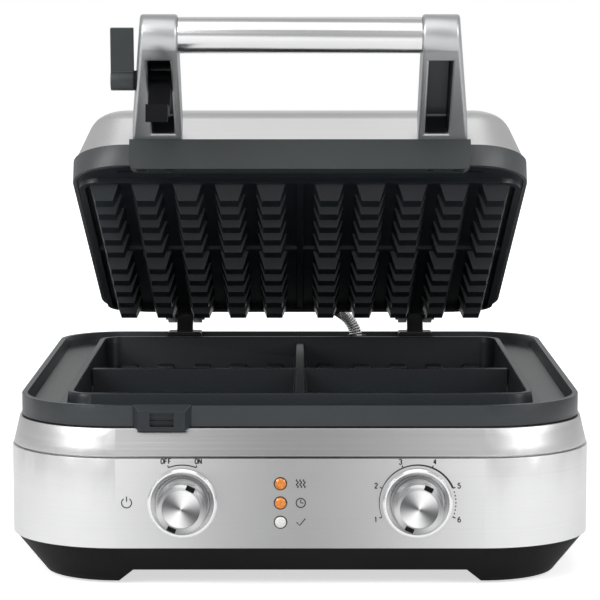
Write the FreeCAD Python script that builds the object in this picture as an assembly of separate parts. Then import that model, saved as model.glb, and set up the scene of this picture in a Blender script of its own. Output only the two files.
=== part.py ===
import FreeCAD, Part
import math
import os

V = FreeCAD.Vector
UP = V(0, 0, 1)
BACKWARD = V(0, 1, 0)
RIGHT = V(1, 0, 0)
LEFT = V(-1, 0, 0)
os.makedirs("parts", exist_ok=True)

# Waffle grid
PEG_PITCH = 22.5
PEGS_PER_WAFFLE = 5
DIVIDER_GAP = 9.0
PEG_BASE = 16.6
PEG_TIP = 9.6
UPPER_PEG_HEIGHT = 10.15
LOWER_PEG_HEIGHT = 10.0
GRID_MARGIN = 5.5
TIP_GAP = 6.6

# Base heights, from the table upwards
FOOT_PROUD = 1.5
TRAY_TOP = 22.5
ARCH_HEIGHT = 8.6
SKIRT_HEIGHT = 47.5
SHELL_HEIGHT = 15.4
SHADOW_GAP = 0.8
BAND_HEIGHT = 11.0
RIM_RISE = 2.4
MOAT_DEPTH = 6.6

# Base plan, all outlines grow or shrink from the band of the moat frame
RIM_WIDTH = 3.0
RIM_DRAFT = 1.7
RIM_FLARE = 1.3
RIM_CORNER = 13.0
MOAT_SIDE = 26.2
MOAT_FRONT = 27.5
MOAT_BACK = 46.5
MOAT_DRAFT = 1.5
FRONT_CORNER = 54.0
BACK_CORNER = 38.0
SKIRT_GROW = 5.2
SKIRT_TURN_IN = 3.2
SHELL_TOP_GROW = 1.2
SHELL_FOOT_GROW = 4.6
SHELL_CHAMFER = 1.2
SHELL_FLANGE = 8.0
TRAY_TOP_GROW = 4.5
TRAY_FOOT_GROW = -12.5
FRAME_SEAT_OUT = 2.5
FRAME_SEAT_IN = 6.0

# Feet, posts and vents
FOOT_RADIUS = 12.0
FOOT_DRAFT = 1.0
FOOT_RECESS = 2.0
FOOT_INSET_SIDE = 40.4
FOOT_INSET_FRONT = 43.8
FOOT_INSET_BACK = 40.8
FOOT_SLOPE = 9.0
POST_RADIUS = 5.5
POST_INSET = 13.5
POST_FRONT_Y = -70.0
POST_BACK_Y = 95.0
BOSS_RADIUS = 4.9
BOSS_HEIGHT = 8.0
SCREW_RADIUS = 2.0
SCREW_HEAD = 4.0
SCREW_HEAD_HEIGHT = 3.0
SCREW_WALL = 6.0
SCREW_BITE = 6.0
VENT_PITCH = 12.0
VENT_WIDTH = 3.0
VENT_LENGTH = 60.0
VENTS_PER_SIDE = 3

# Walls and sheet
CAST_WALL = 3.0
CAST_FLOOR = 3.3
SKIRT_SHEET = 1.5
SHELL_SHEET = 1.8
TRAY_WALL = 3.0
TRAY_FLOOR = 2.5
LIP_WALL = 2.0
LIP_HEIGHT = 4.0
PAN_SHEET = 0.8
COVER_SHEET = 1.2

# Clearances, and how far forms run into each other or a cut runs past a face
SEAT_GAP = 0.15
RUN_GAP = 0.05
PIN_GAP = 0.02
SIDE_GAP = 0.4
SINK = 0.5
PAST = 1.0

# Lower plate
PLATE_SKIRT = 3.2
PLATE_FLANGE = 5.4
PLATE_FLANGE_SHEET = 1.6
DIVIDER_DROP = 3.4
DIVIDER_TOP = 4.6
DIVIDER_FOOT = 9.0
DIVIDER_REACH = 0.8

# Heating
HEATER_RADIUS = 3.25
HEATER_BEND = 30.0
HEATER_HALF = 88.0
HEATER_BACK = 94.0
HEATER_PIN = 1.6
HEATER_PIN_LENGTH = 9.0
PAN_DEPTH = 11.0
PAN_CORNER = 10.0
UPPER_PAN_INSET = 11.0
THERMOSTAT_FLANGE = 11.0
THERMOSTAT_RADIUS = 8.0
THERMOSTAT_HEIGHT = 7.5
FUSE_X = 34.0
FUSE_Y = 30.0
FUSE_RADIUS = 3.2
FUSE_LENGTH = 26.0
CLIP_WIDTH = 8.0
CLIP_DEPTH = 9.0
CLIP_HEIGHT = 6.0

# Lid
LID_ANGLE = 23.2
STEAM_GAP = 1.3
RIDGE_INSET = 2.1
RIDGE_HEIGHT = 2.8
RIDGE_WIDTH = 3.0
UPPER_DIVIDER_LIFT = 0.8
UPPER_DIVIDER_TOP = 3.4
UPPER_DIVIDER_FOOT = 4.6
LID_SIDE = 3.6
LID_FRONT = 18.8
LID_BACK = 13.6
LID_CORNER = 30.0
FRAME_HEIGHT = 11.7
FRAME_WALL = 2.0
FRAME_LIFT = 0.3
LEDGE_WIDTH = 8.0
LEDGE_SHEET = 2.0
UPPER_FLOOR = 3.5
SLOT_X = 93.5
SLOT_LENGTH = 9.0
SLOT_WIDTH = 3.2
SLOT_DEPTH = 1.2
COVER_LAP = 1.0
COVER_HEIGHT = 26.6
COVER_TAPER = 11.0
COVER_ROUND = 14.0
PLATE_SCREW_Y = 60.0
PLATE_SCREW_RADIUS = 1.6
PLATE_SCREW_HEAD = 3.2
PLATE_SCREW_HEAD_HEIGHT = 2.4
PLATE_SCREW_BITE = 2.0

# Hinge
PIVOT_BACK = 39.2
PIVOT_RISE = 9.2
HINGE_SPREAD = 73.5
LEG_WIDTH = 10.0
LEG_DEPTH = 11.0
LEG_EYE = 6.0
LUG_WIDTH = 5.4
LUG_EYE = 5.2
LUG_ROOT = 7.2
HINGE_PIN = 4.0
PIN_HEAD_RIM = 1.4
PIN_HEAD = 1.6
HINGE_BLOCK_WIDTH = 21.4
HINGE_BLOCK_DEPTH = 15.0
HINGE_BLOCK_TOP = 0.7
HINGE_BLOCK_GAP = 0.25
HINGE_BLOCK_ROUND = 1.5

# Lead between base and lid
CONDUIT_RADIUS = 4.0
CONDUIT_LID_X = 21.0
CONDUIT_BASE_X = 36.0
CONDUIT_BACK = 24.75
CONDUIT_RUN = 17.0
BASE_SOCKET_RADIUS = 6.2
LID_SOCKET_RADIUS = 5.7
SOCKET_LENGTH = 7.0
SOCKET_FLOOR = 1.0

# Handle
BAR_DIAMETER = 18.5
BAR_FORWARD = 70.0
BAR_RISE = 46.6
ARM_INNER = 62.3
ARM_ROOT_WIDTH = 27.0
ARM_TIP_WIDTH = 18.2
ARM_ROOT_DEPTH = 14.7
ARM_ROOT_GAP = 0.45
ARM_END = 10.6
ARM_CHANNEL = 12.0
CHANNEL_WALL = 3.7
CHANNEL_START = 4.0
CHANNEL_STOP = 9.0
ARM_BACK_WALL = 3.0
FRONT_BAR_WIDTH = 180.6
FRONT_BAR_DEPTH = 7.0
FRONT_BAR_DROP = 4.2
FRONT_BAR_TOP = 0.4
FRONT_BAR_ROUND = 5.0
HANDLE_SCREW_INSET = 6.5
HANDLE_SCREW_DEPTH = 6.0
HANDLE_SCREW_RADIUS = 1.5
HANDLE_SCREW_HEAD = 2.6
HANDLE_SCREW_HEAD_HEIGHT = 2.0
HANDLE_SCREW_BITE = 7.5
END_SCREW_RADIUS = 2.0
END_SCREW_HEAD = 3.8
END_SCREW_HEAD_HEIGHT = 3.0
END_SCREW_LENGTH = 18.0
END_WELL_RADIUS = 4.2

# Latch and catch
CATCH_WIDTH = 31.0
CATCH_FACE = 24.0
CATCH_PROUD = 4.0
CATCH_BELOW = 15.6
CATCH_ABOVE = 1.6
CATCH_FOOT_BEVEL = 2.4
CATCH_HEAD_BEVEL = 3.6
CATCH_NOTCH_GAP = 0.6
WINDOW_WIDTH = 12.5
WINDOW_TOP = 6.25
WINDOW_HEIGHT = 6.85
WINDOW_DEPTH = 3.2
WINDOW_BAR_DEPTH = 1.2
WINDOW_BAR_SHEET = 1.0
WINDOW_BAR_DROP = 4.1
WINDOW_BAR_HEIGHT = 0.7
LATCH_TURN = 75.0
LATCH_FORWARD = 27.2
LATCH_RISE = 33.4
LATCH_PIN = 3.0
LATCH_PIN_LENGTH = 16.0
LATCH_BORE = 14.0
HUB_RADIUS = 5.2
HOOK_ROOT = 4.6
HOOK_THICK = 5.0
HOOK_BEND = 15.0
HOOK_GAP = 1.2
BEAK_REACH = 2.6
BEAK_HEIGHT = 2.4
BEAK_GAP = 0.7
TAB_LENGTH = 27.3
TAB_LEAN = 28.4
TAB_WIDTH = 12.0
TAB_THICK = 4.0
TAB_HEEL = 3.0
TAB_INSET = 3.3

# Controls
KNOB_SPREAD = 61.35
KNOB_HEIGHT = 46.6
BEZEL_DIAMETER = 36.4
BEZEL_DEPTH = 3.0
BEZEL_LIP = 0.8
BEZEL_DISH = 1.0
BEZEL_GAP = 0.9
KNOB_DIAMETER = 26.6
KNOB_LENGTH = 17.6
KNOB_GAP = 1.4
KNOB_HOLLOW = 12.0
KNOB_WALL = 2.0
KNOB_DRAFT = 0.5
KNOB_EDGE = 1.3
KNOB_HUB_WALL = 2.6
DISC_DIAMETER = 19.8
DISC_SHEET = 0.9
DISC_INSET = 1.2
DISC_CROWN = 0.2
MARK_WIDTH = 4.6
MARK_DEPTH = 2.0
MARK_INSET = 0.1
MARK_EDGE = 0.5
POINTER_ANGLE = 25.0
SHAFT_DIAMETER = 6.0
SHAFT_BITE = 3.0
CONTROL_HALF = 12.0
CONTROL_DEPTH = 9.5
BUSH_RADIUS = 4.6
BUSH_PROUD = 0.6
BUSH_HOLE_GAP = 0.4
LAMP_X = -10.2
LAMP_PITCH = 10.2
LENS_DIAMETER = 5.8
LENS_SINK = 1.5
LENS_EDGE = 0.9
LENS_PROUD = 0.5
LENS_CROWN = 1.2
LAMP_BLOCK_HALF = 5.5
LAMP_BLOCK_END = 6.0
LAMP_WELL_RADIUS = 2.0
LAMP_WELL_DEPTH = 5.0

# Boards and supply, inside the base
BOARD_SETBACK = 13.0
BOARD_SHEET = 1.6
BOARD_HALF = 92.0
BOARD_LIFT = 12.0
BOARD_RISE = 19.0
RIB_INSET = 20.0
RIB_THICK = 4.0
RIB_DEPTH = 16.0
RIB_TOP_DEPTH = 5.0
RIB_DROP = 8.0
BUZZER_X = 34.0
BUZZER_RADIUS = 6.5
BUZZER_DEPTH = 8.0
POWER_BOARD_BACK = 62.0
POWER_BOARD_LIFT = 6.0
POWER_BOARD_HALF = 52.0
POWER_BOARD_DEPTH = 46.0
BOARD_POST_INSET = 6.0
BOARD_POST_RADIUS = 3.5
RELAY_WIDTH = 19.0
RELAY_DEPTH = 16.0
RELAY_HEIGHT = 15.5
RELAY_X = -40.0
RELAY_SETBACK = 14.0
TERMINAL_WAYS = 4
TERMINAL_PITCH = 11.0
TERMINAL_DEPTH = 14.0
TERMINAL_HEIGHT = 12.0
TERMINAL_SETBACK = 26.0
TERMINAL_WELL = 2.6
TERMINAL_WELL_DEPTH = 5.0
GLAND_X = 96.0
GLAND_Z = 42.0
GLAND_RADIUS = 8.0
GLAND_LENGTH = 14.0
GLAND_FLANGE = 3.0
GLAND_BORE = 3.6

# Places worked out from the sizes above
SKIRT_TOP = TRAY_TOP + SKIRT_HEIGHT
SHELL_TOP = SKIRT_TOP + SHELL_HEIGHT
BAND_FOOT = SHELL_TOP + SHADOW_GAP
BAND_TOP = BAND_FOOT + BAND_HEIGHT
RIM_TOP = BAND_TOP + RIM_RISE
MOAT_FLOOR = BAND_TOP - MOAT_DEPTH
GRID_HALF = (PEGS_PER_WAFFLE - 0.5) * PEG_PITCH + DIVIDER_GAP / 2 + PEG_BASE / 2
CAVITY_HALF = GRID_HALF + GRID_MARGIN
RIM_INNER = CAVITY_HALF + RIM_DRAFT
RIM_OUTER = RIM_INNER + RIM_WIDTH
BAND_HALF = RIM_OUTER + MOAT_SIDE
BAND_FRONT = -RIM_OUTER - MOAT_FRONT
BAND_BACK = RIM_OUTER + MOAT_BACK
PANEL_Y = BAND_FRONT - SKIRT_GROW
SKIRT_BACK = BAND_BACK + SKIRT_GROW
FLANGE_Z = RIM_TOP + STEAM_GAP
UPPER_TIP_Z = FLANGE_Z - UPPER_PEG_HEIGHT
LOWER_TIP_Z = UPPER_TIP_Z - TIP_GAP
CAVITY_FLOOR = LOWER_TIP_Z - LOWER_PEG_HEIGHT
PLATE_FOOT = CAVITY_FLOOR - CAST_FLOOR
TRAY_INSIDE = ARCH_HEIGHT + TRAY_FLOOR
POST_TOP = MOAT_FLOOR - CAST_WALL - BOSS_HEIGHT
SCREW_SEAT = POST_TOP - SCREW_WALL
BOARD_Y = PANEL_Y + BOARD_SETBACK
BOARD_FOOT = TRAY_INSIDE + BOARD_LIFT
BOARD_TOP = KNOB_HEIGHT + BOARD_RISE
CONTROL_Y = BOARD_Y - CONTROL_DEPTH
POWER_BOARD_Y = BAND_BACK - POWER_BOARD_BACK
POWER_BOARD_Z = TRAY_INSIDE + POWER_BOARD_LIFT
POWER_BOARD_TOP = POWER_BOARD_Z + BOARD_SHEET
LENS_SEAT = SKIRT_SHEET + LENS_SINK
KNOB_FRONT = KNOB_GAP + KNOB_LENGTH
DISC_SEAT = KNOB_FRONT - DISC_INSET
RIDGE_HALF = RIM_INNER - RIDGE_INSET
RIDGE_FOOT = FLANGE_Z - RIDGE_HEIGHT
LID_HALF = RIDGE_HALF + LID_SIDE
LID_FRONT_Y = -RIDGE_HALF - LID_FRONT
LID_BACK_Y = RIDGE_HALF + LID_BACK
PLATE_TOP = FLANGE_Z + UPPER_FLOOR
LEDGE_FOOT = PLATE_TOP + PIN_GAP
LEDGE_TOP = LEDGE_FOOT + LEDGE_SHEET
FRAME_FOOT = FLANGE_Z + FRAME_LIFT
FRAME_TOP = FRAME_FOOT + FRAME_HEIGHT
SLOT_Y = (LID_FRONT_Y - RIDGE_HALF) / 2
PIVOT_Y = RIM_OUTER + PIVOT_BACK
PIVOT_Z = RIM_TOP + PIVOT_RISE
PIVOT = V(0, PIVOT_Y, PIVOT_Z)
BLOCK_BACK = BAND_BACK - CAST_WALL - MOAT_DRAFT - HINGE_BLOCK_GAP
BLOCK_TOP = RIM_TOP - HINGE_BLOCK_TOP
LEG_BACK = BLOCK_BACK - PAST
LUG_REACH = LEG_WIDTH / 2 + SIDE_GAP + LUG_WIDTH
CONDUIT_LID_Z = FRAME_FOOT + FRAME_HEIGHT / 2
CONDUIT_BASE_Y = RIM_OUTER + CONDUIT_BACK
FRONT_BAR_Y = LID_FRONT_Y - FRONT_BAR_DEPTH
FRONT_BAR_FOOT = FLANGE_Z - FRONT_BAR_DROP
FRONT_BAR_HEAD = FRAME_TOP + FRONT_BAR_TOP
HANDLE_SCREW_SEAT = FRONT_BAR_HEAD - HANDLE_SCREW_DEPTH
ARM_OUTER = ARM_INNER + ARM_ROOT_WIDTH
CHANNEL_X = ARM_INNER + CHANNEL_WALL + ARM_CHANNEL / 2
CATCH_X = -CHANNEL_X
CATCH_Y = BAND_FRONT - CATCH_PROUD
LATCH_Y = BAND_FRONT - LATCH_FORWARD
LATCH_Z = RIM_TOP + LATCH_RISE
LATCH_AXIS = V(0, LATCH_Y, LATCH_Z)
TAB_X = -ARM_OUTER + TAB_INSET


def unit(vector):
    return vector * (1.0 / vector.Length)


# The handle arm's outline in the lid's middle plane
BAR_CENTRE = V(0, LID_FRONT_Y - BAR_FORWARD, RIM_TOP + BAR_RISE)
ROOT_FRONT = V(0, FRONT_BAR_Y, FRONT_BAR_HEAD)
ROOT_BACK = V(0, LID_FRONT_Y - ARM_ROOT_GAP, FRONT_BAR_HEAD)
ROOT_TOP = ROOT_BACK + UP * ARM_ROOT_DEPTH
ARM_LINE = unit(BAR_CENTRE - (ROOT_FRONT + ROOT_TOP) * 0.5)
ARM_NORMAL = V(0, ARM_LINE.z, -ARM_LINE.y)
END_UNDER = BAR_CENTRE - ARM_NORMAL * ARM_END
END_TOP = BAR_CENTRE + ARM_NORMAL * ARM_END
UNDER_LINE = unit(END_UNDER - ROOT_FRONT)
UNDER_NORMAL = V(0, UNDER_LINE.z, -UNDER_LINE.y)

pieces = {}


def save(name, shape):
    """One solid, or a group of like solids, under its own name."""
    pieces[name] = shape


def save_lid(name, shape):
    """A piece of the lid, drawn closed and kept at the opened angle."""
    moved = shape.copy()
    moved.rotate(PIVOT, LEFT, LID_ANGLE)
    save(name, moved)


def box(x0, x1, y0, y1, z0, z1):
    return Part.makeBox(x1 - x0, y1 - y0, z1 - z0, V(x0, y0, z0))


def cylinder(x, y, z, radius, length, axis):
    return Part.makeCylinder(radius, length, V(x, y, z), axis)


def corner_rounds(outline):
    """Start, middle, end and centre of the four corner arcs, anticlockwise from the front right."""
    x0, x1, y0, y1, front, back, z = outline
    rounds = []
    for cx, cy, radius, start in (
        (x1 - front, y0 + front, front, -90),
        (x1 - back, y1 - back, back, 0),
        (x0 + back, y1 - back, back, 90),
        (x0 + front, y0 + front, front, 180),
    ):
        centre = V(cx, cy, z)
        spots = []
        for turn in (0, 45, 90):
            angle = math.radians(start + turn)
            spots.append(centre + V(math.cos(angle), math.sin(angle), 0) * radius)
        rounds.append(spots + [centre])
    return rounds


def outline_face(outline):
    rounds = corner_rounds(outline)
    edges = []
    for corner, following in zip(rounds, rounds[1:] + rounds[:1]):
        edges.append(Part.Arc(*corner[:3]).toShape())
        edges.append(Part.LineSegment(corner[2], following[0]).toShape())
    return Part.Face(Part.Wire(edges))


def band_outline(grow, z):
    """The base's plan, with wide front corners, grown from the moat frame's band."""
    front = BAND_FRONT - grow
    back = BAND_BACK + grow
    half = BAND_HALF + grow
    return (-half, half, front, back, FRONT_CORNER + grow, BACK_CORNER + grow, z)


def lid_outline(grow, z):
    half = LID_HALF + grow
    corner = LID_CORNER + grow
    return (-half, half, LID_FRONT_Y - grow, LID_BACK_Y + grow, corner, corner, z)


def square_outline(half, corner, z):
    return (-half, half, -half, half, corner, corner, z)


def rim_outline(grow, z):
    """The square plan of the waffle plate's rim."""
    return square_outline(RIM_OUTER + grow, RIM_CORNER + grow, z)


def prism(outline, height):
    return outline_face(outline).extrude(UP * height)


def flat(*points):
    return Part.Face(Part.makePolygon(list(points) + [points[0]]))


def closed(faces):
    """The solid inside a full set of faces."""
    shell = Part.makeShell(faces)
    shell.sewShape()
    solid = Part.makeSolid(shell)
    if solid.Volume < 0:
        solid.reverse()
    return solid.removeSplitter()


def taper(low, high):
    """Solid between two outlines about the same corner centres: flat sides and conical corners."""
    below = corner_rounds(low)
    above = corner_rounds(high)
    faces = [outline_face(low), outline_face(high)]
    for index in range(4):
        following = (index + 1) % 4
        edge = Part.LineSegment(below[index][0], above[index][0]).toShape()
        faces.append(edge.revolve(below[index][3], UP, 90))
        faces.append(flat(below[index][2], below[following][0], above[following][0], above[index][2]))
    return closed(faces)


def tapered_block(low, high):
    """Six flat faces between two four-cornered ends."""
    faces = [flat(*low), flat(*high)]
    for index in range(4):
        following = (index + 1) % 4
        faces.append(flat(low[index], low[following], high[following], high[index]))
    return closed(faces)


def profile_yz(points, x0, x1):
    """A closed outline of (y, z) points drawn out along X."""
    return flat(*[V(x0, y, z) for y, z in points]).extrude(RIGHT * (x1 - x0))


def both_sides(shape):
    return shape.mirror(V(0, 0, 0), RIGHT)


def grid_places():
    """Peg centres along one axis, with the divider's gap in the middle."""
    places = []
    for index in range(PEGS_PER_WAFFLE):
        offset = (index + 0.5) * PEG_PITCH + DIVIDER_GAP / 2
        places += [-offset, offset]
    return places


def pegs(base_z, tip_z):
    """The square tapered pegs of one plate."""
    ends = []
    for half, z in ((PEG_BASE / 2, base_z), (PEG_TIP / 2, tip_z)):
        ends.append([V(-half, -half, z), V(half, -half, z), V(half, half, z), V(-half, half, z)])
    peg = tapered_block(*ends)
    group = []
    for x in grid_places():
        for y in grid_places():
            placed = peg.copy()
            placed.translate(V(x, y, 0))
            group.append(placed)
    return group


def divider(foot_z, top_z, top_width, foot_width, half):
    """A cross of two tapered bars between the four waffles."""
    points = [
        (-foot_width / 2, foot_z),
        (foot_width / 2, foot_z),
        (top_width / 2, top_z),
        (-top_width / 2, top_z),
    ]
    bar = profile_yz(points, -half, half)
    other = bar.copy()
    other.rotate(V(0, 0, 0), UP, 90)
    return [bar, other]


def tube(points, radius, bend):
    """A round bar along straight runs joined by tangent bends."""
    start = points[0]
    runs = []

    def section(place, direction):
        return Part.Face(Part.Wire(Part.makeCircle(radius, place, direction)))

    for before, corner, after in zip(points, points[1:], points[2:]):
        inward = unit(corner - before)
        outward = unit(after - corner)
        turn = inward.getAngle(outward)
        reach = bend * math.tan(turn / 2)
        centre = corner + unit(outward - inward) * (bend / math.cos(turn / 2))
        end = corner - inward * reach
        runs.append(section(start, inward).extrude(end - start))
        runs.append(section(end, inward).revolve(centre, inward.cross(outward), math.degrees(turn)))
        start = corner + outward * reach
    last = points[-1] - start
    runs.append(section(start, last).extrude(last))
    return runs[0].multiFuse(runs[1:]).removeSplitter()


def turned(x, z, profile):
    """(radius, forward) points in front of the panel, turned about the control's axis."""
    points = [V(x + radius, PANEL_Y - forward, z) for radius, forward in profile]
    return flat(*points).revolve(V(x, 0, z), BACKWARD, 360)


def tray_grow(z):
    """How far the tray's sloping outer wall stands from the band at a height."""
    share = (z - FOOT_PROUD) / (TRAY_TOP - FOOT_PROUD)
    return TRAY_FOOT_GROW + share * (TRAY_TOP_GROW - TRAY_FOOT_GROW)


def foot_places():
    x = BAND_HALF - FOOT_INSET_SIDE
    front = BAND_FRONT + FOOT_INSET_FRONT
    back = BAND_BACK - FOOT_INSET_BACK
    return [(sx * x, y) for sx in (-1, 1) for y in (front, back)]


def post_places():
    x = BAND_HALF - POST_INSET
    return [(sx * x, y) for sx in (-1, 1) for y in (POST_FRONT_Y, POST_BACK_Y)]


def board_post_places():
    x = POWER_BOARD_HALF - BOARD_POST_INSET
    front = POWER_BOARD_Y + BOARD_POST_INSET
    back = POWER_BOARD_Y + POWER_BOARD_DEPTH - BOARD_POST_INSET
    return [(sx * x, y) for sx in (-1, 1) for y in (front, back)]


def tray_arches():
    """Space under the tray between its feet, open to the front, the back and both sides."""
    low = FOOT_PROUD - PAST
    x = BAND_HALF - FOOT_INSET_SIDE - FOOT_RADIUS - PAST
    front = BAND_FRONT + FOOT_INSET_FRONT + FOOT_RADIUS + PAST
    back = BAND_BACK - FOOT_INSET_BACK - FOOT_RADIUS - PAST
    corners = [(-x, low), (x, low), (x - FOOT_SLOPE, ARCH_HEIGHT), (FOOT_SLOPE - x, ARCH_HEIGHT)]
    along = flat(*[V(px, BAND_FRONT, pz) for px, pz in corners]).extrude(BACKWARD * (BAND_BACK - BAND_FRONT))
    sides = [(front, low), (back, low), (back - FOOT_SLOPE, ARCH_HEIGHT), (front + FOOT_SLOPE, ARCH_HEIGHT)]
    return [along, profile_yz(sides, -BAND_HALF, BAND_HALF)]


def board_ribs():
    """Two ribs that stand the control board upright behind the panel."""
    back = BOARD_Y + BOARD_SHEET
    foot = TRAY_INSIDE - PAST
    top = BOARD_TOP - RIB_DROP
    outline = [(back, foot), (back + RIB_DEPTH, foot), (back + RIB_TOP_DEPTH, top), (back, top)]
    ribs = []
    for sx in (-1, 1):
        left = sx * (BOARD_HALF - RIB_INSET) - RIB_THICK / 2
        ribs.append(profile_yz(outline, left, left + RIB_THICK))
        ribs.append(box(left, left + RIB_THICK, BOARD_Y, back + PAST, foot, BOARD_FOOT))
    return ribs


def base_tray():
    """Sloping tray with posts for the frame and ribs for the boards, and four corner feet seated under it."""
    body = taper(band_outline(TRAY_FOOT_GROW, FOOT_PROUD), band_outline(TRAY_TOP_GROW, TRAY_TOP))
    inside = taper(
        band_outline(tray_grow(TRAY_INSIDE) - TRAY_WALL, TRAY_INSIDE),
        band_outline(TRAY_TOP_GROW - TRAY_WALL, TRAY_TOP),
    )
    lip_grow = SKIRT_GROW - SKIRT_SHEET - SEAT_GAP
    lip = prism(band_outline(lip_grow, TRAY_TOP - SINK), LIP_HEIGHT + SINK)
    lip = lip.cut(prism(band_outline(lip_grow - LIP_WALL, TRAY_TOP - SINK), LIP_HEIGHT + SINK))
    body = body.cut(inside).fuse(lip).cut(Part.makeCompound(tray_arches()))
    additions = board_ribs()
    foot = TRAY_INSIDE - PAST
    for x, y in post_places():
        additions.append(cylinder(x, y, foot, POST_RADIUS, POST_TOP - foot, UP))
    for x, y in board_post_places():
        additions.append(cylinder(x, y, foot, BOARD_POST_RADIUS, POWER_BOARD_Z - foot, UP))
    body = body.multiFuse(additions)
    cuts = []
    for x, y in foot_places():
        cuts.append(cylinder(x, y, FOOT_PROUD - PAST, FOOT_RADIUS + SEAT_GAP, FOOT_RECESS + PAST, UP))
    for x, y in post_places():
        cuts.append(cylinder(x, y, 0, SCREW_HEAD + SIDE_GAP, SCREW_SEAT, UP))
        cuts.append(cylinder(x, y, 0, SCREW_RADIUS + SEAT_GAP, POST_TOP + PAST, UP))
    for index in range(-VENTS_PER_SIDE, VENTS_PER_SIDE + 1):
        left = index * VENT_PITCH - VENT_WIDTH / 2
        half = VENT_LENGTH / 2
        cuts.append(box(left, left + VENT_WIDTH, -half, half, ARCH_HEIGHT - PAST, TRAY_INSIDE + PAST))
    body = body.cut(Part.makeCompound(cuts)).removeSplitter()
    below = box(-BAND_HALF, BAND_HALF, BAND_FRONT, BAND_BACK, 0, ARCH_HEIGHT)
    return Part.makeCompound(body.cut(below).Solids + body.common(below).Solids)


def rubber_feet():
    """Four pads, each drafted, sunk in the tray's corner feet."""
    height = FOOT_PROUD + FOOT_RECESS
    pads = []
    for x, y in foot_places():
        pads.append(Part.makeCone(FOOT_RADIUS - FOOT_DRAFT, FOOT_RADIUS, height, V(x, y, 0), UP))
    return Part.makeCompound(pads)


def control_skirt():
    """Upright stainless band that carries the controls, with a turned-in top edge."""
    ring = prism(band_outline(SKIRT_GROW, TRAY_TOP), SKIRT_HEIGHT)
    ring = ring.cut(prism(band_outline(SKIRT_GROW - SKIRT_SHEET, TRAY_TOP), SKIRT_HEIGHT - SKIRT_SHEET))
    ring = ring.cut(prism(band_outline(SKIRT_GROW - SKIRT_TURN_IN, SKIRT_TOP - SKIRT_SHEET), SKIRT_SHEET))
    through = SKIRT_SHEET + 2 * PAST
    front = PANEL_Y - PAST
    cuts = []
    for x in (-KNOB_SPREAD, KNOB_SPREAD):
        cuts.append(cylinder(x, front, KNOB_HEIGHT, BUSH_RADIUS + BUSH_HOLE_GAP, through, BACKWARD))
    for index in (-1, 0, 1):
        z = KNOB_HEIGHT + index * LAMP_PITCH
        cuts.append(cylinder(LAMP_X, front, z, LENS_DIAMETER / 2 + RUN_GAP, through, BACKWARD))
    back = SKIRT_BACK - SKIRT_SHEET - PAST
    cuts.append(cylinder(GLAND_X, back, GLAND_Z, GLAND_RADIUS + RUN_GAP, through, BACKWARD))
    return ring.cut(Part.makeCompound(cuts)).removeSplitter()


def shoulder_shell():
    """Sloping stainless shoulder with a chamfered foot and a flange under the moat frame."""
    widest = band_outline(SHELL_FOOT_GROW, SKIRT_TOP + SHELL_CHAMFER)
    body = taper(band_outline(SHELL_FOOT_GROW - SHELL_CHAMFER, SKIRT_TOP), widest)
    body = body.fuse(taper(widest, band_outline(SHELL_TOP_GROW, SHELL_TOP)))
    inside = taper(
        band_outline(SHELL_FOOT_GROW - SHELL_SHEET - SIDE_GAP, SKIRT_TOP),
        band_outline(SHELL_TOP_GROW - SHELL_SHEET, SHELL_TOP - SHELL_SHEET),
    )
    hole = prism(band_outline(-SHELL_FLANGE, SHELL_TOP - SHELL_SHEET), SHELL_SHEET)
    half = CATCH_FACE / 2 + CATCH_NOTCH_GAP
    foot = RIM_TOP - CATCH_BELOW - CATCH_NOTCH_GAP
    front = BAND_FRONT - 2 * CATCH_PROUD
    notch = box(CATCH_X - half, CATCH_X + half, front, BAND_FRONT, foot, SHELL_TOP + PAST)
    return body.cut(inside).cut(hole).cut(notch).removeSplitter()


def moat_frame():
    """Cast surround: outer band, overflow moat and the opening for the lower plate."""
    body = prism(band_outline(0, BAND_FOOT), BAND_HEIGHT)
    moat = taper(band_outline(-CAST_WALL - MOAT_DRAFT, MOAT_FLOOR), band_outline(-CAST_WALL, BAND_TOP))
    under = prism(band_outline(-FRAME_SEAT_IN, BAND_FOOT), MOAT_FLOOR - CAST_WALL - BAND_FOOT)
    seat = prism(band_outline(-FRAME_SEAT_OUT, SHELL_TOP), SHADOW_GAP + SINK)
    seat = seat.cut(prism(band_outline(-FRAME_SEAT_IN, SHELL_TOP), SHADOW_GAP + SINK))
    bosses = [cylinder(x, y, POST_TOP, BOSS_RADIUS, BOSS_HEIGHT + PAST, UP) for x, y in post_places()]
    body = body.cut(moat).cut(under).multiFuse([seat] + bosses)
    cuts = [prism(rim_outline(PLATE_SKIRT, BAND_FOOT - PAST), BAND_HEIGHT)]
    for x, y in post_places():
        cuts.append(cylinder(x, y, POST_TOP - PAST, SCREW_RADIUS + RUN_GAP, BOSS_HEIGHT, UP))
    return body.cut(Part.makeCompound(cuts)).removeSplitter()


def frame_screws():
    """Four long screws up through the tray's posts into the frame's bosses."""
    screws = []
    for x, y in post_places():
        head = cylinder(x, y, SCREW_SEAT - SCREW_HEAD_HEIGHT, SCREW_HEAD, SCREW_HEAD_HEIGHT, UP)
        shank = cylinder(x, y, SCREW_SEAT, SCREW_RADIUS, SCREW_WALL + SCREW_BITE, UP)
        screws.append(head.fuse(shank))
    return Part.makeCompound(screws)


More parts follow.
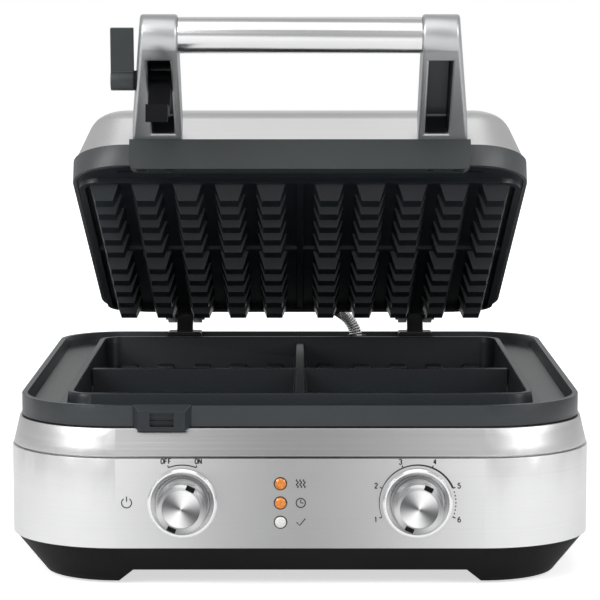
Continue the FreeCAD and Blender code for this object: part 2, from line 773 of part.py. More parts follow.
def lower_plate():
    """Cast waffle plate: raised rim, four square wells and their tapered pegs."""
    wall = taper(rim_outline(RIM_FLARE, MOAT_FLOOR), rim_outline(0, RIM_TOP))
    flange = prism(rim_outline(PLATE_FLANGE, MOAT_FLOOR), PLATE_FLANGE_SHEET)
    tub = prism(rim_outline(RIM_FLARE, PLATE_FOOT), MOAT_FLOOR - PLATE_FOOT)
    well = taper(rim_outline(-RIM_WIDTH - RIM_DRAFT, CAVITY_FLOOR), rim_outline(-RIM_WIDTH, RIM_TOP))
    body = tub.multiFuse([wall, flange]).cut(well)
    top = RIM_TOP - DIVIDER_DROP
    bars = divider(CAVITY_FLOOR - SINK, top, DIVIDER_TOP, DIVIDER_FOOT, CAVITY_HALF + DIVIDER_REACH)
    return body.multiFuse(bars + pegs(CAVITY_FLOOR, LOWER_TIP_Z)).removeSplitter()


def latch_catch():
    """Bevelled striker on the band, with a window for the latch's beak."""
    foot = RIM_TOP - CATCH_BELOW
    head = RIM_TOP - CATCH_ABOVE
    ends = []
    for width, y, low, high in (
        (CATCH_WIDTH, BAND_FRONT, foot + CATCH_FOOT_BEVEL, head),
        (CATCH_FACE, CATCH_Y, foot, head - CATCH_HEAD_BEVEL),
    ):
        left = CATCH_X - width / 2
        right = CATCH_X + width / 2
        ends.append([V(left, y, low), V(right, y, low), V(right, y, high), V(left, y, high)])
    body = tapered_block(*ends)
    top = RIM_TOP - WINDOW_TOP
    left = CATCH_X - WINDOW_WIDTH / 2
    right = CATCH_X + WINDOW_WIDTH / 2
    window = box(left, right, CATCH_Y - PAST, CATCH_Y + WINDOW_DEPTH, top - WINDOW_HEIGHT, top)
    bar_y = CATCH_Y + WINDOW_BAR_DEPTH
    bar_top = top - WINDOW_BAR_DROP
    bar_foot = bar_top - WINDOW_BAR_HEIGHT
    bar = box(left - SINK, right + SINK, bar_y, bar_y + WINDOW_BAR_SHEET, bar_foot, bar_top)
    return body.cut(window).fuse(bar).removeSplitter()


def heater(z):
    """One bent tubular element with a cold pin at each end."""
    points = [
        V(HEATER_HALF, HEATER_BACK, z),
        V(HEATER_HALF, -HEATER_HALF, z),
        V(-HEATER_HALF, -HEATER_HALF, z),
        V(-HEATER_HALF, HEATER_BACK, z),
    ]
    pins = []
    for x in (-HEATER_HALF, HEATER_HALF):
        pins.append(cylinder(x, HEATER_BACK, z, HEATER_PIN, HEATER_PIN_LENGTH, BACKWARD))
    return tube(points, HEATER_RADIUS, HEATER_BEND).multiFuse(pins)


def pan(half, closed_z, open_z):
    """A folded sheet pan, open on the side at open_z."""
    low, high = sorted((closed_z, open_z))
    inner_low, inner_high = sorted((closed_z + math.copysign(PAN_SHEET, open_z - closed_z), open_z))
    inner = square_outline(half - PAN_SHEET, PAN_CORNER - PAN_SHEET, inner_low)
    return prism(square_outline(half, PAN_CORNER, low), high - low).cut(prism(inner, inner_high - inner_low))


def thermostat(z, side):
    """A disc thermostat standing on a plate, with its mounting flange."""
    flange = cylinder(0, 0, z, THERMOSTAT_FLANGE, COVER_SHEET, UP * side)
    return flange.fuse(cylinder(0, 0, z, THERMOSTAT_RADIUS, THERMOSTAT_HEIGHT, UP * side))


def thermal_fuse(z, side):
    """A fuse barrel held to a plate by its saddle clip."""
    low, high = sorted((z, z + side * CLIP_HEIGHT))
    barrel = cylinder(FUSE_X, FUSE_Y, z + side * (FUSE_RADIUS + SEAT_GAP), FUSE_RADIUS, FUSE_LENGTH, RIGHT)
    left = FUSE_X + (FUSE_LENGTH - CLIP_WIDTH) / 2
    front = FUSE_Y - CLIP_DEPTH / 2
    return barrel.fuse(box(left, left + CLIP_WIDTH, front, front + CLIP_DEPTH, low, high))


def rotary_control(x):
    """Switch or potentiometer body on the board, with its bush through the panel."""
    low = KNOB_HEIGHT - CONTROL_HALF
    high = KNOB_HEIGHT + CONTROL_HALF
    body = box(x - CONTROL_HALF, x + CONTROL_HALF, CONTROL_Y, BOARD_Y, low, high)
    front = PANEL_Y - BUSH_PROUD
    bush = cylinder(x, front, KNOB_HEIGHT, BUSH_RADIUS, CONTROL_Y - front + PAST, BACKWARD)
    depth = CONTROL_Y - front + 2 * SHAFT_BITE
    bore = cylinder(x, front, KNOB_HEIGHT, SHAFT_DIAMETER / 2 + RUN_GAP, depth, BACKWARD)
    return body.fuse(bush).cut(bore)


def bezel(x):
    """Dished chrome ring round a knob."""
    outer = BEZEL_DIAMETER / 2
    inner = KNOB_DIAMETER / 2 + BEZEL_GAP
    profile = [
        (inner, 0),
        (outer, 0),
        (outer, BEZEL_DEPTH - BEZEL_LIP),
        (outer - BEZEL_LIP, BEZEL_DEPTH),
        (outer - 2 * BEZEL_LIP, BEZEL_DEPTH),
        (inner, BEZEL_DISH),
    ]
    return turned(x, KNOB_HEIGHT, profile)


def knob_marks(x, grow, proud):
    """Two dark inserts across the knob's ring, at its pointer and opposite."""
    half = MARK_WIDTH / 2 + grow
    front = PANEL_Y - KNOB_FRONT + MARK_INSET
    low = KNOB_HEIGHT + DISC_DIAMETER / 2 + MARK_EDGE - grow
    high = KNOB_HEIGHT + KNOB_DIAMETER / 2 - MARK_EDGE + proud
    marks = []
    for turn in (POINTER_ANGLE, POINTER_ANGLE + 180.0):
        mark = box(x - half, x + half, front - proud, front + MARK_DEPTH + grow, low, high)
        mark.rotate(V(x, 0, KNOB_HEIGHT), BACKWARD, turn)
        marks.append(mark)
    return Part.makeCompound(marks)


def knob(x):
    """Hollow drafted knob with a hub for the shaft and a seat for the spun disc."""
    radius = KNOB_DIAMETER / 2
    seat = DISC_DIAMETER / 2 + RUN_GAP
    hub = SHAFT_DIAMETER / 2 + PIN_GAP
    bottom = KNOB_GAP + KNOB_HOLLOW
    profile = [
        (hub, KNOB_GAP),
        (hub + KNOB_HUB_WALL, KNOB_GAP),
        (hub + KNOB_HUB_WALL, bottom),
        (radius - KNOB_WALL - KNOB_DRAFT, bottom),
        (radius - KNOB_WALL, KNOB_GAP),
        (radius, KNOB_GAP),
        (radius - KNOB_DRAFT, KNOB_FRONT - KNOB_EDGE),
        (radius - KNOB_DRAFT - KNOB_EDGE, KNOB_FRONT),
        (seat, KNOB_FRONT),
        (seat, DISC_SEAT),
        (0, DISC_SEAT),
        (0, bottom),
        (hub, bottom),
    ]
    return turned(x, KNOB_HEIGHT, profile).cut(knob_marks(x, RUN_GAP, MARK_DEPTH))


def knob_disc(x):
    radius = DISC_DIAMETER / 2
    front = DISC_SEAT + DISC_SHEET
    profile = [(0, DISC_SEAT), (radius, DISC_SEAT), (radius, front - DISC_CROWN), (0, front)]
    return turned(x, KNOB_HEIGHT, profile)


def knob_shaft(x):
    end = PANEL_Y - KNOB_GAP - KNOB_HOLLOW
    return cylinder(x, end, KNOB_HEIGHT, SHAFT_DIAMETER / 2, CONTROL_Y + SHAFT_BITE - end, BACKWARD)


def lamp_lens(index):
    radius = LENS_DIAMETER / 2
    profile = [
        (0, -LENS_SEAT),
        (radius, -LENS_SEAT),
        (radius, LENS_PROUD),
        (radius - LENS_EDGE, 2 * LENS_PROUD),
        (0, LENS_CROWN),
    ]
    return turned(LAMP_X, KNOB_HEIGHT + index * LAMP_PITCH, profile)


def lamp_block():
    """Opaque block that holds the three lamps against their lenses."""
    front = PANEL_Y + LENS_SEAT
    half = LAMP_PITCH + LAMP_BLOCK_END
    left = LAMP_X - LAMP_BLOCK_HALF
    right = LAMP_X + LAMP_BLOCK_HALF
    body = box(left, right, front, BOARD_Y, KNOB_HEIGHT - half, KNOB_HEIGHT + half)
    wells = []
    for index in (-1, 0, 1):
        z = KNOB_HEIGHT + index * LAMP_PITCH
        wells.append(cylinder(LAMP_X, front - PAST, z, LAMP_WELL_RADIUS, LAMP_WELL_DEPTH + PAST, BACKWARD))
    return body.cut(Part.makeCompound(wells))


def control_board():
    return box(-BOARD_HALF, BOARD_HALF, BOARD_Y, BOARD_Y + BOARD_SHEET, BOARD_FOOT, BOARD_TOP)


def buzzer():
    return cylinder(BUZZER_X, BOARD_Y + BOARD_SHEET, KNOB_HEIGHT, BUZZER_RADIUS, BUZZER_DEPTH, BACKWARD)


def power_board():
    back = POWER_BOARD_Y + POWER_BOARD_DEPTH
    return box(-POWER_BOARD_HALF, POWER_BOARD_HALF, POWER_BOARD_Y, back, POWER_BOARD_Z, POWER_BOARD_TOP)


def relay():
    front = POWER_BOARD_Y + RELAY_SETBACK
    top = POWER_BOARD_TOP + RELAY_HEIGHT
    return box(RELAY_X, RELAY_X + RELAY_WIDTH, front, front + RELAY_DEPTH, POWER_BOARD_TOP, top)


def terminal_block():
    """Supply terminals on the power board, one screw well for each way."""
    front = POWER_BOARD_Y + TERMINAL_SETBACK
    top = POWER_BOARD_TOP + TERMINAL_HEIGHT
    body = box(0, TERMINAL_WAYS * TERMINAL_PITCH, front, front + TERMINAL_DEPTH, POWER_BOARD_TOP, top)
    wells = []
    for way in range(TERMINAL_WAYS):
        x = (way + 0.5) * TERMINAL_PITCH
        y = front + TERMINAL_DEPTH / 2
        wells.append(cylinder(x, y, top - TERMINAL_WELL_DEPTH, TERMINAL_WELL, TERMINAL_WELL_DEPTH + PAST, UP))
    return body.cut(Part.makeCompound(wells))


def cord_gland():
    """Bushing in the back of the skirt, flush outside, for the supply lead."""
    inside = SKIRT_BACK - GLAND_LENGTH
    body = cylinder(GLAND_X, inside, GLAND_Z, GLAND_RADIUS, GLAND_LENGTH, BACKWARD)
    flange_y = SKIRT_BACK - SKIRT_SHEET - GLAND_FLANGE
    flange = cylinder(GLAND_X, flange_y, GLAND_Z, GLAND_RADIUS + GLAND_FLANGE, GLAND_FLANGE, BACKWARD)
    bore = cylinder(GLAND_X, inside - PAST, GLAND_Z, GLAND_BORE, GLAND_LENGTH + 2 * PAST, BACKWARD)
    return body.fuse(flange).cut(bore)


def hinge_leg(x):
    """Upright that stands on the moat's floor and carries the pivot."""
    front = LEG_BACK - LEG_DEPTH
    outline = [
        (front, MOAT_FLOOR),
        (LEG_BACK, MOAT_FLOOR),
        (LEG_BACK, BLOCK_TOP + PAST),
        (PIVOT_Y + LEG_EYE, PIVOT_Z),
        (PIVOT_Y - LEG_EYE, PIVOT_Z),
        (front, BLOCK_TOP + PAST),
    ]
    left = x - LEG_WIDTH / 2
    plate = profile_yz(outline, left, left + LEG_WIDTH)
    eye = cylinder(left, PIVOT_Y, PIVOT_Z, LEG_EYE, LEG_WIDTH, RIGHT)
    bore = cylinder(left - PAST, PIVOT_Y, PIVOT_Z, HINGE_PIN / 2 + RUN_GAP, LEG_WIDTH + 2 * PAST, RIGHT)
    return plate.fuse(eye).cut(bore).removeSplitter()


def hinge_block(x):
    """Cover block round the foot of a hinge leg."""
    half = HINGE_BLOCK_WIDTH / 2
    body = box(x - half, x + half, BLOCK_BACK - HINGE_BLOCK_DEPTH, BLOCK_BACK, MOAT_FLOOR, BLOCK_TOP)
    top_edges = [edge for edge in body.Edges if edge.BoundBox.ZMin > BLOCK_TOP - SINK]
    slot_half = LEG_WIDTH / 2 + RUN_GAP
    front = LEG_BACK - LEG_DEPTH - RUN_GAP
    back = LEG_BACK + RUN_GAP
    slot = box(x - slot_half, x + slot_half, front, back, MOAT_FLOOR - PAST, BLOCK_TOP + PAST)
    return body.makeFillet(HINGE_BLOCK_ROUND, top_edges).cut(slot)


def hinge_lug(x):
    """Forked lug on the back of the lid frame, one ear on each side of a leg."""
    outline = [
        (LID_BACK_Y, FRAME_FOOT + PAST),
        (PIVOT_Y, PIVOT_Z - LUG_EYE),
        (PIVOT_Y, PIVOT_Z + LUG_EYE),
        (LID_BACK_Y, FRAME_TOP - SINK),
    ]
    body = profile_yz(outline, x - LUG_REACH, x + LUG_REACH)
    eye = cylinder(x - LUG_REACH, PIVOT_Y, PIVOT_Z, LUG_EYE, 2 * LUG_REACH, RIGHT)
    half = LEG_WIDTH / 2 + SIDE_GAP
    start = LID_BACK_Y + LUG_ROOT
    gap = box(x - half, x + half, start, PIVOT_Y + 2 * LUG_EYE, PIVOT_Z - 2 * LUG_EYE, PIVOT_Z + 2 * LUG_EYE)
    length = 2 * (LUG_REACH + PAST)
    bore = cylinder(x - LUG_REACH - PAST, PIVOT_Y, PIVOT_Z, HINGE_PIN / 2 + PIN_GAP, length, RIGHT)
    return body.fuse(eye).cut(gap).cut(bore).removeSplitter()


def hinge_pin(x):
    """Headed pin through one leg and both ears of its lug."""
    shank = cylinder(x - LUG_REACH, PIVOT_Y, PIVOT_Z, HINGE_PIN / 2, 2 * LUG_REACH, RIGHT)
    heads = []
    for side in (-1, 1):
        start = x + side * LUG_REACH
        heads.append(cylinder(start, PIVOT_Y, PIVOT_Z, HINGE_PIN / 2 + PIN_HEAD_RIM, PIN_HEAD, RIGHT * side))
    return shank.multiFuse(heads)


def base_socket():
    """Collar on the moat's floor that takes the foot of the conduit."""
    place = (CONDUIT_BASE_X, CONDUIT_BASE_Y, MOAT_FLOOR)
    bore_z = MOAT_FLOOR + SOCKET_FLOOR
    bore = cylinder(CONDUIT_BASE_X, CONDUIT_BASE_Y, bore_z, CONDUIT_RADIUS + RUN_GAP, SOCKET_LENGTH, UP)
    return cylinder(*place, BASE_SOCKET_RADIUS, SOCKET_LENGTH, UP).cut(bore)


def lid_socket():
    """Collar on the back of the lid that takes the head of the conduit."""
    place = (CONDUIT_LID_X, LID_BACK_Y, CONDUIT_LID_Z)
    bore_y = LID_BACK_Y + SOCKET_FLOOR
    bore = cylinder(CONDUIT_LID_X, bore_y, CONDUIT_LID_Z, CONDUIT_RADIUS + RUN_GAP, SOCKET_LENGTH, BACKWARD)
    return cylinder(*place, LID_SOCKET_RADIUS, SOCKET_LENGTH, BACKWARD).cut(bore)


def lead_conduit():
    """Metal conduit for the lid's leads, in the shape that it takes at the opened angle."""
    seat = SOCKET_FLOOR + SEAT_GAP
    head = Part.LineSegment(
        V(CONDUIT_LID_X, LID_BACK_Y + seat, CONDUIT_LID_Z),
        V(CONDUIT_LID_X, LID_BACK_Y + seat + CONDUIT_RUN, CONDUIT_LID_Z),
    ).toShape()
    head.rotate(PIVOT, LEFT, LID_ANGLE)
    start, bent = [vertex.Point for vertex in head.Vertexes]
    end = V(CONDUIT_BASE_X, CONDUIT_BASE_Y, MOAT_FLOOR + seat)
    points = [start, bent, end + UP * CONDUIT_RUN, end]
    slant = points[2] - bent
    turn = max((bent - start).getAngle(slant), slant.getAngle(UP * -1))
    bend = 0.45 * min(CONDUIT_RUN, slant.Length) / math.tan(turn / 2)
    return tube(points, CONDUIT_RADIUS, bend)


def plate_screw_places():
    x = LID_HALF - FRAME_WALL - LEDGE_WIDTH / 2
    return [(sx * x, sy * PLATE_SCREW_Y) for sx in (-1, 1) for sy in (-1, 1)]


def plate_screw_holes():
    start = PLATE_TOP - PLATE_SCREW_BITE - SINK
    length = PLATE_SCREW_BITE + LEDGE_SHEET + PAST
    holes = []
    for x, y in plate_screw_places():
        holes.append(cylinder(x, y, start, PLATE_SCREW_RADIUS + RUN_GAP, length, UP))
    return Part.makeCompound(holes)


def plate_screws():
    """Short screws down through the frame's ledge into the upper plate."""
    start = PLATE_TOP - PLATE_SCREW_BITE
    screws = []
    for x, y in plate_screw_places():
        head = cylinder(x, y, LEDGE_TOP, PLATE_SCREW_HEAD, PLATE_SCREW_HEAD_HEIGHT, UP)
        screws.append(head.fuse(cylinder(x, y, start, PLATE_SCREW_RADIUS, LEDGE_TOP - start, UP)))
    return Part.makeCompound(screws)


def flange_slots():
    """Two shallow round-ended recesses in the front of the upper plate's flange."""
    slots = []
    end = (SLOT_LENGTH - SLOT_WIDTH) / 2
    for x in (-SLOT_X, SLOT_X):
        half = SLOT_WIDTH / 2
        slot = box(x - end, x + end, SLOT_Y - half, SLOT_Y + half, FLANGE_Z - PAST, FLANGE_Z + SLOT_DEPTH)
        ends = []
        for side in (-1, 1):
            ends.append(cylinder(x + side * end, SLOT_Y, FLANGE_Z - PAST, half, SLOT_DEPTH + PAST, UP))
        slots.append(slot.multiFuse(ends))
    return Part.makeCompound(slots)


def upper_plate():
    """Cast waffle plate of the lid: flange, nesting ridge, dividers and tapered pegs."""
    slab = prism(lid_outline(-FRAME_WALL - SIDE_GAP, FLANGE_Z), UPPER_FLOOR)
    inner = RIDGE_HALF - RIDGE_WIDTH
    corner = RIM_CORNER - RIDGE_INSET
    ridge = prism(square_outline(RIDGE_HALF, corner, RIDGE_FOOT), RIDGE_HEIGHT + SINK)
    ridge = ridge.cut(prism(square_outline(inner, corner - RIDGE_WIDTH, RIDGE_FOOT), RIDGE_HEIGHT + SINK))
    top = RIDGE_FOOT + UPPER_DIVIDER_LIFT
    bars = divider(FLANGE_Z + SINK, top, UPPER_DIVIDER_TOP, UPPER_DIVIDER_FOOT, inner + SINK)
    body = slab.multiFuse([ridge] + bars + pegs(FLANGE_Z, UPPER_TIP_Z))
    return body.cut(plate_screw_holes()).cut(flange_slots()).removeSplitter()


def lid_frame():
    """Band round the lid, with a ledge that clamps the upper plate."""
    ring = prism(lid_outline(0, FRAME_FOOT), FRAME_HEIGHT)
    ring = ring.cut(prism(lid_outline(-FRAME_WALL, FRAME_FOOT), FRAME_HEIGHT))
    ledge = prism(lid_outline(-FRAME_WALL + SINK, LEDGE_FOOT), LEDGE_SHEET)
    ledge = ledge.cut(prism(lid_outline(-FRAME_WALL - LEDGE_WIDTH, LEDGE_FOOT), LEDGE_SHEET))
    return ring.fuse(ledge).cut(plate_screw_holes()).removeSplitter()


def lid_cover():
    """Pressed stainless dome with tapered sides and a rounded top edge."""
    top = FRAME_TOP + COVER_HEIGHT

    def pressing(inset, height, radius):
        foot = lid_outline(-COVER_LAP - inset, FRAME_TOP)
        body = taper(foot, lid_outline(-COVER_LAP - COVER_TAPER - inset, height))
        edges = [edge for edge in body.Edges if edge.BoundBox.ZMin > height - SINK]
        return body.makeFillet(radius, edges)

    outside = pressing(0.0, top, COVER_ROUND)
    return outside.cut(pressing(COVER_SHEET, top - COVER_SHEET, COVER_ROUND - COVER_SHEET))


def handle_screw_places():
    y = FRONT_BAR_Y + FRONT_BAR_DEPTH / 2
    spots = (ARM_INNER + HANDLE_SCREW_INSET, ARM_OUTER - HANDLE_SCREW_INSET)
    return [(sx * x, y) for sx in (-1, 1) for x in spots]


def handle_screw_holes():
    """Head wells from under the front bar and pilot holes up into the arms."""
    holes = []
    start = FRONT_BAR_FOOT - PAST
    length = HANDLE_SCREW_DEPTH + HANDLE_SCREW_BITE + 2 * PAST
    for x, y in handle_screw_places():
        holes.append(cylinder(x, y, start, HANDLE_SCREW_HEAD + SEAT_GAP, HANDLE_SCREW_SEAT - start, UP))
        holes.append(cylinder(x, y, HANDLE_SCREW_SEAT - PAST, HANDLE_SCREW_RADIUS + RUN_GAP, length, UP))
    return Part.makeCompound(holes)


def handle_screws():
    """Screws up through the front bar into the arms, and through the arms into the bar's ends."""
    screws = []
    z = HANDLE_SCREW_SEAT
    for x, y in handle_screw_places():
        head = cylinder(x, y, z - HANDLE_SCREW_HEAD_HEIGHT, HANDLE_SCREW_HEAD, HANDLE_SCREW_HEAD_HEIGHT, UP)
        length = HANDLE_SCREW_DEPTH + HANDLE_SCREW_BITE
        screws.append(head.fuse(cylinder(x, y, z, HANDLE_SCREW_RADIUS, length, UP)))
    for side in (-1, 1):
        place = (side * CHANNEL_X, BAR_CENTRE.y, BAR_CENTRE.z)
        head = cylinder(*place, END_SCREW_HEAD, END_SCREW_HEAD_HEIGHT, RIGHT * side)
        screws.append(head.fuse(cylinder(*place, END_SCREW_RADIUS, END_SCREW_LENGTH, LEFT * side)))
    return Part.makeCompound(screws)


def front_bar():
    """Moulded bar across the front of the lid, under the handle arms."""
    half = FRONT_BAR_WIDTH / 2
    body = box(-half, half, FRONT_BAR_Y, LID_FRONT_Y, FRONT_BAR_FOOT, FRONT_BAR_HEAD)
    low = [edge for edge in body.Edges if edge.BoundBox.ZMax < FRONT_BAR_FOOT + SINK]
    corners = [edge for edge in low if edge.BoundBox.YLength > SINK]
    return body.makeFillet(FRONT_BAR_ROUND, corners).cut(handle_screw_holes())


def handle_arm():
    """Left arm: cast channel that tapers towards the bar, open along its underside."""
    outline = [(p.y, p.z) for p in (ROOT_FRONT, ROOT_BACK, ROOT_TOP, END_TOP, END_UNDER)]
    body = profile_yz(outline, -ARM_OUTER, -ARM_INNER)
    body = body.fuse(cylinder(-ARM_OUTER, BAR_CENTRE.y, BAR_CENTRE.z, ARM_END, ARM_ROOT_WIDTH, RIGHT))
    near = LID_FRONT_Y + PAST
    far = BAR_CENTRE.y - ARM_END - PAST
    outside = -ARM_OUTER - ARM_ROOT_WIDTH
    side = flat(
        V(-ARM_OUTER, near, 0), V(outside, near, 0), V(outside, far, 0), V(-ARM_INNER - ARM_TIP_WIDTH, far, 0)
    )
    body = body.cut(side.extrude(UP * (BAR_CENTRE.z + 2 * ARM_END)))
    start = ROOT_FRONT + UNDER_LINE * CHANNEL_START
    stop = END_UNDER - UNDER_LINE * CHANNEL_STOP
    root_depth = (ROOT_TOP - ROOT_FRONT).dot(UNDER_NORMAL) - ARM_BACK_WALL
    tip_depth = (END_TOP - END_UNDER).dot(UNDER_NORMAL) - ARM_BACK_WALL
    channel = [
        start - UNDER_NORMAL * ARM_CHANNEL,
        stop - UNDER_NORMAL * ARM_CHANNEL,
        stop + UNDER_NORMAL * tip_depth,
        start + UNDER_NORMAL * root_depth,
    ]
    half = ARM_CHANNEL / 2
    cut = profile_yz([(p.y, p.z) for p in channel], -CHANNEL_X - half, -CHANNEL_X + half)
    place = (-CHANNEL_X, BAR_CENTRE.y, BAR_CENTRE.z)
    bolt = cylinder(*place, END_SCREW_RADIUS + RUN_GAP, ARM_ROOT_WIDTH, RIGHT)
    well = cylinder(*place, END_WELL_RADIUS, ARM_ROOT_WIDTH, LEFT)
    return body.cut(cut).cut(bolt).cut(well).cut(handle_screw_holes())


def handle_arm_left():
    """The left arm also carries the latch: a journal for its hub and a hole for its pin."""
    place = (-CHANNEL_X, LATCH_Y, LATCH_Z)
    journal = cylinder(*place, HUB_RADIUS + RUN_GAP, ARM_ROOT_WIDTH, LEFT)
    pin = cylinder(*place, LATCH_PIN / 2 + PIN_GAP, ARM_ROOT_WIDTH, RIGHT)
    return handle_arm().cut(journal).cut(pin)


def handle_bar():
    place = (BAR_CENTRE.y, BAR_CENTRE.z)
    body = cylinder(-ARM_INNER, *place, BAR_DIAMETER / 2, 2 * ARM_INNER, RIGHT)
    depth = END_SCREW_LENGTH - CHANNEL_X + ARM_INNER + PAST
    holes = []
    for side in (-1, 1):
        holes.append(cylinder(side * ARM_INNER, *place, END_SCREW_RADIUS + RUN_GAP, depth, LEFT * side))
    return body.cut(Part.makeCompound(holes))


def latch_lever():
    """Hub and hook, drawn engaged in the catch and then swung to the open place."""
    half = ARM_CHANNEL / 2 - SIDE_GAP
    beak_top = RIM_TOP - WINDOW_TOP - BEAK_GAP
    beak_foot = beak_top - BEAK_HEIGHT
    near = CATCH_Y - HOOK_GAP
    far = near - HOOK_THICK
    tip = CATCH_Y + BEAK_REACH
    outline = [
        (LATCH_Y - HOOK_ROOT, LATCH_Z),
        (far, beak_top + HOOK_BEND + PAST),
        (far, beak_foot),
        (tip, beak_foot),
        (tip, beak_top),
        (near, beak_top),
        (near, beak_top + HOOK_BEND - PAST),
        (LATCH_Y + HOOK_ROOT, LATCH_Z),
    ]
    inner = -CHANNEL_X + half
    hook = profile_yz(outline, inner - 2 * half, inner)
    hub = cylinder(inner, LATCH_Y, LATCH_Z, HUB_RADIUS, inner - TAB_X, LEFT)
    bore = cylinder(inner + PAST, LATCH_Y, LATCH_Z, LATCH_PIN / 2 + RUN_GAP, LATCH_BORE, LEFT)
    lever = hook.fuse(hub).cut(bore)
    lever.rotate(LATCH_AXIS, RIGHT, -LATCH_TURN)
    return lever


def latch_tab():
    """Thumb tab keyed on the outer end of the latch's hub."""
    lean = math.radians(TAB_LEAN)
    along = V(0, -math.sin(lean), math.cos(lean))
    across = V(0, math.cos(lean), math.sin(lean)) * (TAB_THICK / 2)
    root = LATCH_AXIS - along * TAB_HEEL
    tip = LATCH_AXIS + along * TAB_LENGTH
    outline = [root - across, tip - across, tip + across, root + across]
    body = profile_yz([(p.y, p.z) for p in outline], TAB_X - TAB_WIDTH, TAB_X)
    boss = cylinder(TAB_X, LATCH_Y, LATCH_Z, HUB_RADIUS, TAB_WIDTH, LEFT)
    return body.fuse(boss).removeSplitter()


def latch_pin():
    start = -ARM_INNER - SEAT_GAP
    return cylinder(start, LATCH_Y, LATCH_Z, LATCH_PIN / 2, LATCH_PIN_LENGTH, LEFT)


save("base_tray", base_tray())
save("rubber_feet", rubber_feet())
save("control_skirt", control_skirt())
save("shoulder_shell", shoulder_shell())
save("moat_frame", moat_frame())
save("lower_plate", lower_plate())
save("latch_catch", latch_catch())
save("frame_screws", frame_screws())
save("lower_heater", heater(PLATE_FOOT - HEATER_RADIUS - RUN_GAP))
save("lower_reflector", pan(CAVITY_HALF - SINK, PLATE_FOOT - PAN_DEPTH, PLATE_FOOT))
save("lower_thermostat", thermostat(PLATE_FOOT, -1))
save("lower_fuse", thermal_fuse(PLATE_FOOT, -1))
for side, x in (("power", -KNOB_SPREAD), ("browning", KNOB_SPREAD)):
    save(side + "_bezel", bezel(x))
    save(side + "_control", rotary_control(x))
    save(side + "_shaft", knob_shaft(x))
    save(side + "_knob", knob(x))
    save(side + "_disc", knob_disc(x))
    save(side + "_index", knob_marks(x, 0, 0))
for name, index in (("heating_lens", 1), ("cooking_lens", 0), ("ready_lens", -1)):
    save(name, lamp_lens(index))
save("lamp_block", lamp_block())
save("control_board", control_board())
save("buzzer", buzzer())
save("power_board", power_board())
save("relay", relay())
save("terminal_block", terminal_block())
save("cord_gland", cord_gland())
for side, x in (("left", -HINGE_SPREAD), ("right", HINGE_SPREAD)):
    save("hinge_block_" + side, hinge_block(x))
    save("hinge_leg_" + side, hinge_leg(x))
    save_lid("hinge_lug_" + side, hinge_lug(x))
save_lid("hinge_pins", Part.makeCompound([hinge_pin(-HINGE_SPREAD), hinge_pin(HINGE_SPREAD)]))
save("base_socket", base_socket())
save("lead_conduit", lead_conduit())
save_lid("lid_socket", lid_socket())
save_lid("lid_cover", lid_cover())
save_lid("lid_frame", lid_frame())
save_lid("upper_plate", upper_plate())
save_lid("plate_screws", plate_screws())
save_lid("upper_heater", heater(PLATE_TOP + HEATER_RADIUS + RUN_GAP))
save_lid("upper_reflector", pan(RIDGE_HALF - UPPER_PAN_INSET, PLATE_TOP + PAN_DEPTH, PLATE_TOP))
save_lid("upper_thermostat", thermostat(PLATE_TOP, 1))
save_lid("upper_fuse", thermal_fuse(PLATE_TOP, 1))
save_lid("front_bar", front_bar())
save_lid("handle_arm_left", handle_arm_left())
save_lid("handle_arm_right", both_sides(handle_arm()))
save_lid("handle_bar", handle_bar())
save_lid("handle_screws", handle_screws())
save_lid("latch_pin", latch_pin())
save_lid("latch_lever", latch_lever())
save_lid("latch_tab", latch_tab())

# The origin is on the table, under the middle of the whole product
boxes = [shape.optimalBoundingBox(True, False) for shape in pieces.values()]
middle_y = (min(b.YMin for b in boxes) + max(b.YMax for b in boxes)) / 2
for name, shape in pieces.items():
    shape.translate(V(0, -middle_y, 0))
    shape.exportStep("parts/" + name + ".step")

latch_vertex = Part.Vertex(LATCH_AXIS)
latch_vertex.rotate(PIVOT, LEFT, LID_ANGLE)
print("lid hinge", round(PIVOT_Y - middle_y, 3), round(PIVOT_Z, 3))
print("latch pivot", round(latch_vertex.Point.y - middle_y, 3), round(latch_vertex.Point.z, 3))
print("knob axes", KNOB_SPREAD, round(PANEL_Y - middle_y, 3), KNOB_HEIGHT)
print("moved back by", round(-middle_y, 4))
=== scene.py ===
import math

import bpy
import numpy as np
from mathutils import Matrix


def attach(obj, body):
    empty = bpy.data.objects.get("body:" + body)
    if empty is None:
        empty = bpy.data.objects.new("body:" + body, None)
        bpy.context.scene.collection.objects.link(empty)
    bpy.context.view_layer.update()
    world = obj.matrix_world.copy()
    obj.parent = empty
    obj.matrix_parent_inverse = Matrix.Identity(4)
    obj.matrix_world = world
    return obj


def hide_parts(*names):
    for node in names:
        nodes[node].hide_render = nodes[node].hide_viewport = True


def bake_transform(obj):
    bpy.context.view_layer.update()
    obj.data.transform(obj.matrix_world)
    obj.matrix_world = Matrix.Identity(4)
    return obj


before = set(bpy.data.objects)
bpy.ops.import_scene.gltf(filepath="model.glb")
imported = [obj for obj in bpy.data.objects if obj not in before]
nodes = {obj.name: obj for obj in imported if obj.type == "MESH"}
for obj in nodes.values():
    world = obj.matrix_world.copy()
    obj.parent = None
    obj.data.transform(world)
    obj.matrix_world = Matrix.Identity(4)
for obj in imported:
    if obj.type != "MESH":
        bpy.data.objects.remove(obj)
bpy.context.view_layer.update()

# Sizes in metres and angles in degrees, in the part's own frame
PANEL_Y = -0.151064
KNOB_X = 0.06135
KNOB_Z = 0.0466
LAMP_X = -0.0102
LAMP_PITCH = 0.0102
LENS_RADIUS = 0.0029
LEGEND_RADIUS = 0.0235
LEGEND_HEIGHT = 0.0026
LEGEND_STROKE = 0.00062
FINE_STROKE = 0.0006
SCALE_RADIUS = 0.0200
LEGEND_DEPTH = 0.00004
CAMERA = (0.0, -1.48985, 0.29903)
CAMERA_DOWN = 6.22
